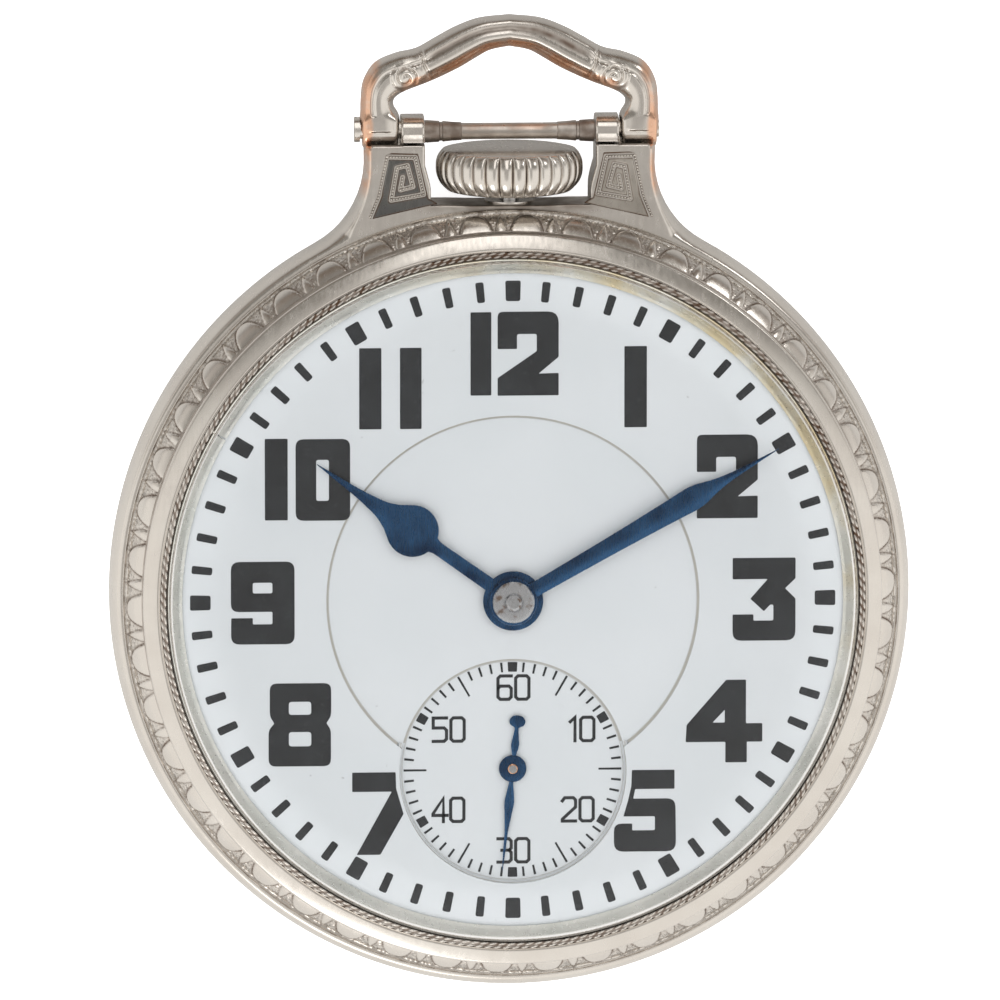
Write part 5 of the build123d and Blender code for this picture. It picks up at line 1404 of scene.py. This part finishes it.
def make_floor():
    """A white floor. In what shines it is grey, and darker towards 12 o'clock, so that edges show."""
    corners = [(x, y, FLOOR_DROP) for x, y in ((-1, -1), (1, -1), (1, 1), (-1, 1))]
    corners = [(x * FLOOR_HALF, y * FLOOR_HALF, z) for x, y, z in corners]
    mesh = bpy.data.meshes.new("floor")
    mesh.from_pydata(corners, [], [(0, 1, 2, 3)])
    floor = bpy.data.objects.new("floor", mesh)
    bpy.context.scene.collection.objects.link(floor)
    n = Nodes("floor_white")
    colour = n.mix(n.noise(30.0), tint(0.93, 0.93, 0.93), tint(0.95, 0.95, 0.95))
    split = n.add("ShaderNodeSeparateXYZ")
    n.put(split.inputs[0], n.place)
    shining = n.add("ShaderNodeLightPath").outputs["Is Glossy Ray"]
    mirrored_floor = n.range(split.outputs["Y"], 0.0, 0.09, 0.1, 0.0)
    plain = n.math("MULTIPLY", n.math("SUBTRACT", 1.0, shining), FLOOR_GLOW)
    glow = n.math("ADD", n.math("MULTIPLY", shining, mirrored_floor), plain)
    towards_12 = n.range(split.outputs["Y"], 0.0, 0.07)
    mirrored_colour = n.mix(towards_12, tint(0.62, 0.61, 0.59), tint(0.2, 0.19, 0.18))
    colour = n.mix(shining, colour, mirrored_colour)
    white = tint(1.0, 1.0, 1.0)
    n.surface(Base_Color=colour, Roughness=0.9, Emission_Color=white, Emission_Strength=glow)
    floor.data.materials.append(n.material)


def make_world():
    """Even white light on everything matt. What shines sees the studio: a white tent with a grey ceiling,
    and darker warm screens on the side of 12 o'clock."""
    world = bpy.data.worlds.new("studio")
    bpy.context.scene.world = world
    world.use_nodes = True
    tree = world.node_tree
    place = tree.nodes.new("ShaderNodeTexCoord")
    split = tree.nodes.new("ShaderNodeSeparateXYZ")
    tree.links.new(place.outputs["Generated"], split.inputs[0])

    def blend(share, first, second):
        mix = tree.nodes.new("ShaderNodeMix")
        mix.data_type = "RGBA"
        tree.links.new(share, mix.inputs[0])
        for key, value in ((6, first), (7, second)):
            if isinstance(value, tuple):
                mix.inputs[key].default_value = value
            else:
                tree.links.new(value, mix.inputs[key])
        return mix.outputs[2]

    def step(value, low, high):
        ramp = tree.nodes.new("ShaderNodeMapRange")
        ramp.interpolation_type = "SMOOTHSTEP"
        ramp.inputs[1].default_value = low
        ramp.inputs[2].default_value = high
        tree.links.new(value, ramp.inputs[0])
        return ramp.outputs[0]

    low = blend(step(split.outputs["Y"], 0.0, 0.95), TENT_WHITE, SCREEN_DARK)
    across = tree.nodes.new("ShaderNodeMath")
    across.operation = "ABSOLUTE"
    tree.links.new(split.outputs["X"], across.inputs[0])
    flagged = blend(step(split.outputs["Y"], 0.0, 0.4), TENT_WHITE, FLAG_GREY)
    panel = blend(step(across.outputs[0], 0.13, 0.17), LAMP_WHITE, flagged)
    lit = blend(step(split.outputs["Y"], 0.1, 0.2), flagged, panel)
    screens = blend(step(split.outputs["Z"], 0.25, 0.4), low, lit)
    studio = blend(step(split.outputs["Z"], 0.9, 0.97), screens, CEILING_GREY)
    rays = tree.nodes.new("ShaderNodeLightPath")
    seen = blend(rays.outputs["Is Glossy Ray"], ROOM_LIGHT, studio)
    back = tree.nodes["Background"]
    tree.links.new(seen, back.inputs["Color"])
    back.inputs["Strength"].default_value = 1.0


def area_light(name, place, target, size, power):
    data = bpy.data.lights.new(name, "AREA")
    data.energy = power
    data.size = size
    lamp = bpy.data.objects.new(name, data)
    bpy.context.scene.collection.objects.link(lamp)
    lamp.location = place
    aim(lamp, target)


def aim(thing, target):
    """Points a lamp or the camera at a place, with 12 o'clock upwards."""
    back = (Vector(thing.location) - Vector(target)).normalized()
    right = Vector((0, 1, 0)).cross(back).normalized()
    up = back.cross(right)
    thing.rotation_euler = Matrix((right, up, back)).transposed().to_euler()


def make_camera():
    data = bpy.data.cameras.new("camera")
    data.lens = 573.5
    data.sensor_width = 36.0
    data.clip_start = 0.05
    data.clip_end = 10.0
    camera = bpy.data.objects.new("camera", data)
    bpy.context.scene.collection.objects.link(camera)
    camera.location = (-0.0536, 0.1665, 1.0)
    aim(camera, (-0.00082, 0.00642, 0.0094))
    bpy.context.scene.camera = camera


def make_lights():
    area_light("soft_front", (-0.3, -0.9, 0.5), (0, 0, 0), 0.5, 1.5)
    area_light("soft_side", (0.75, 0.75, 0.45), (0, 0, 0), 0.25, 0.8)


dress_cad_nodes()

make_bezel()
make_milling()
make_case_band()
make_pendant()
make_key_panels()
make_key_lines()
make_bow()
make_bar()
make_crown()
make_crystal()
make_printing()
make_dial_edges()
make_hands()
make_floor()
make_world()
make_lights()
make_camera()
bpy.context.scene.view_settings.view_transform = "Standard"
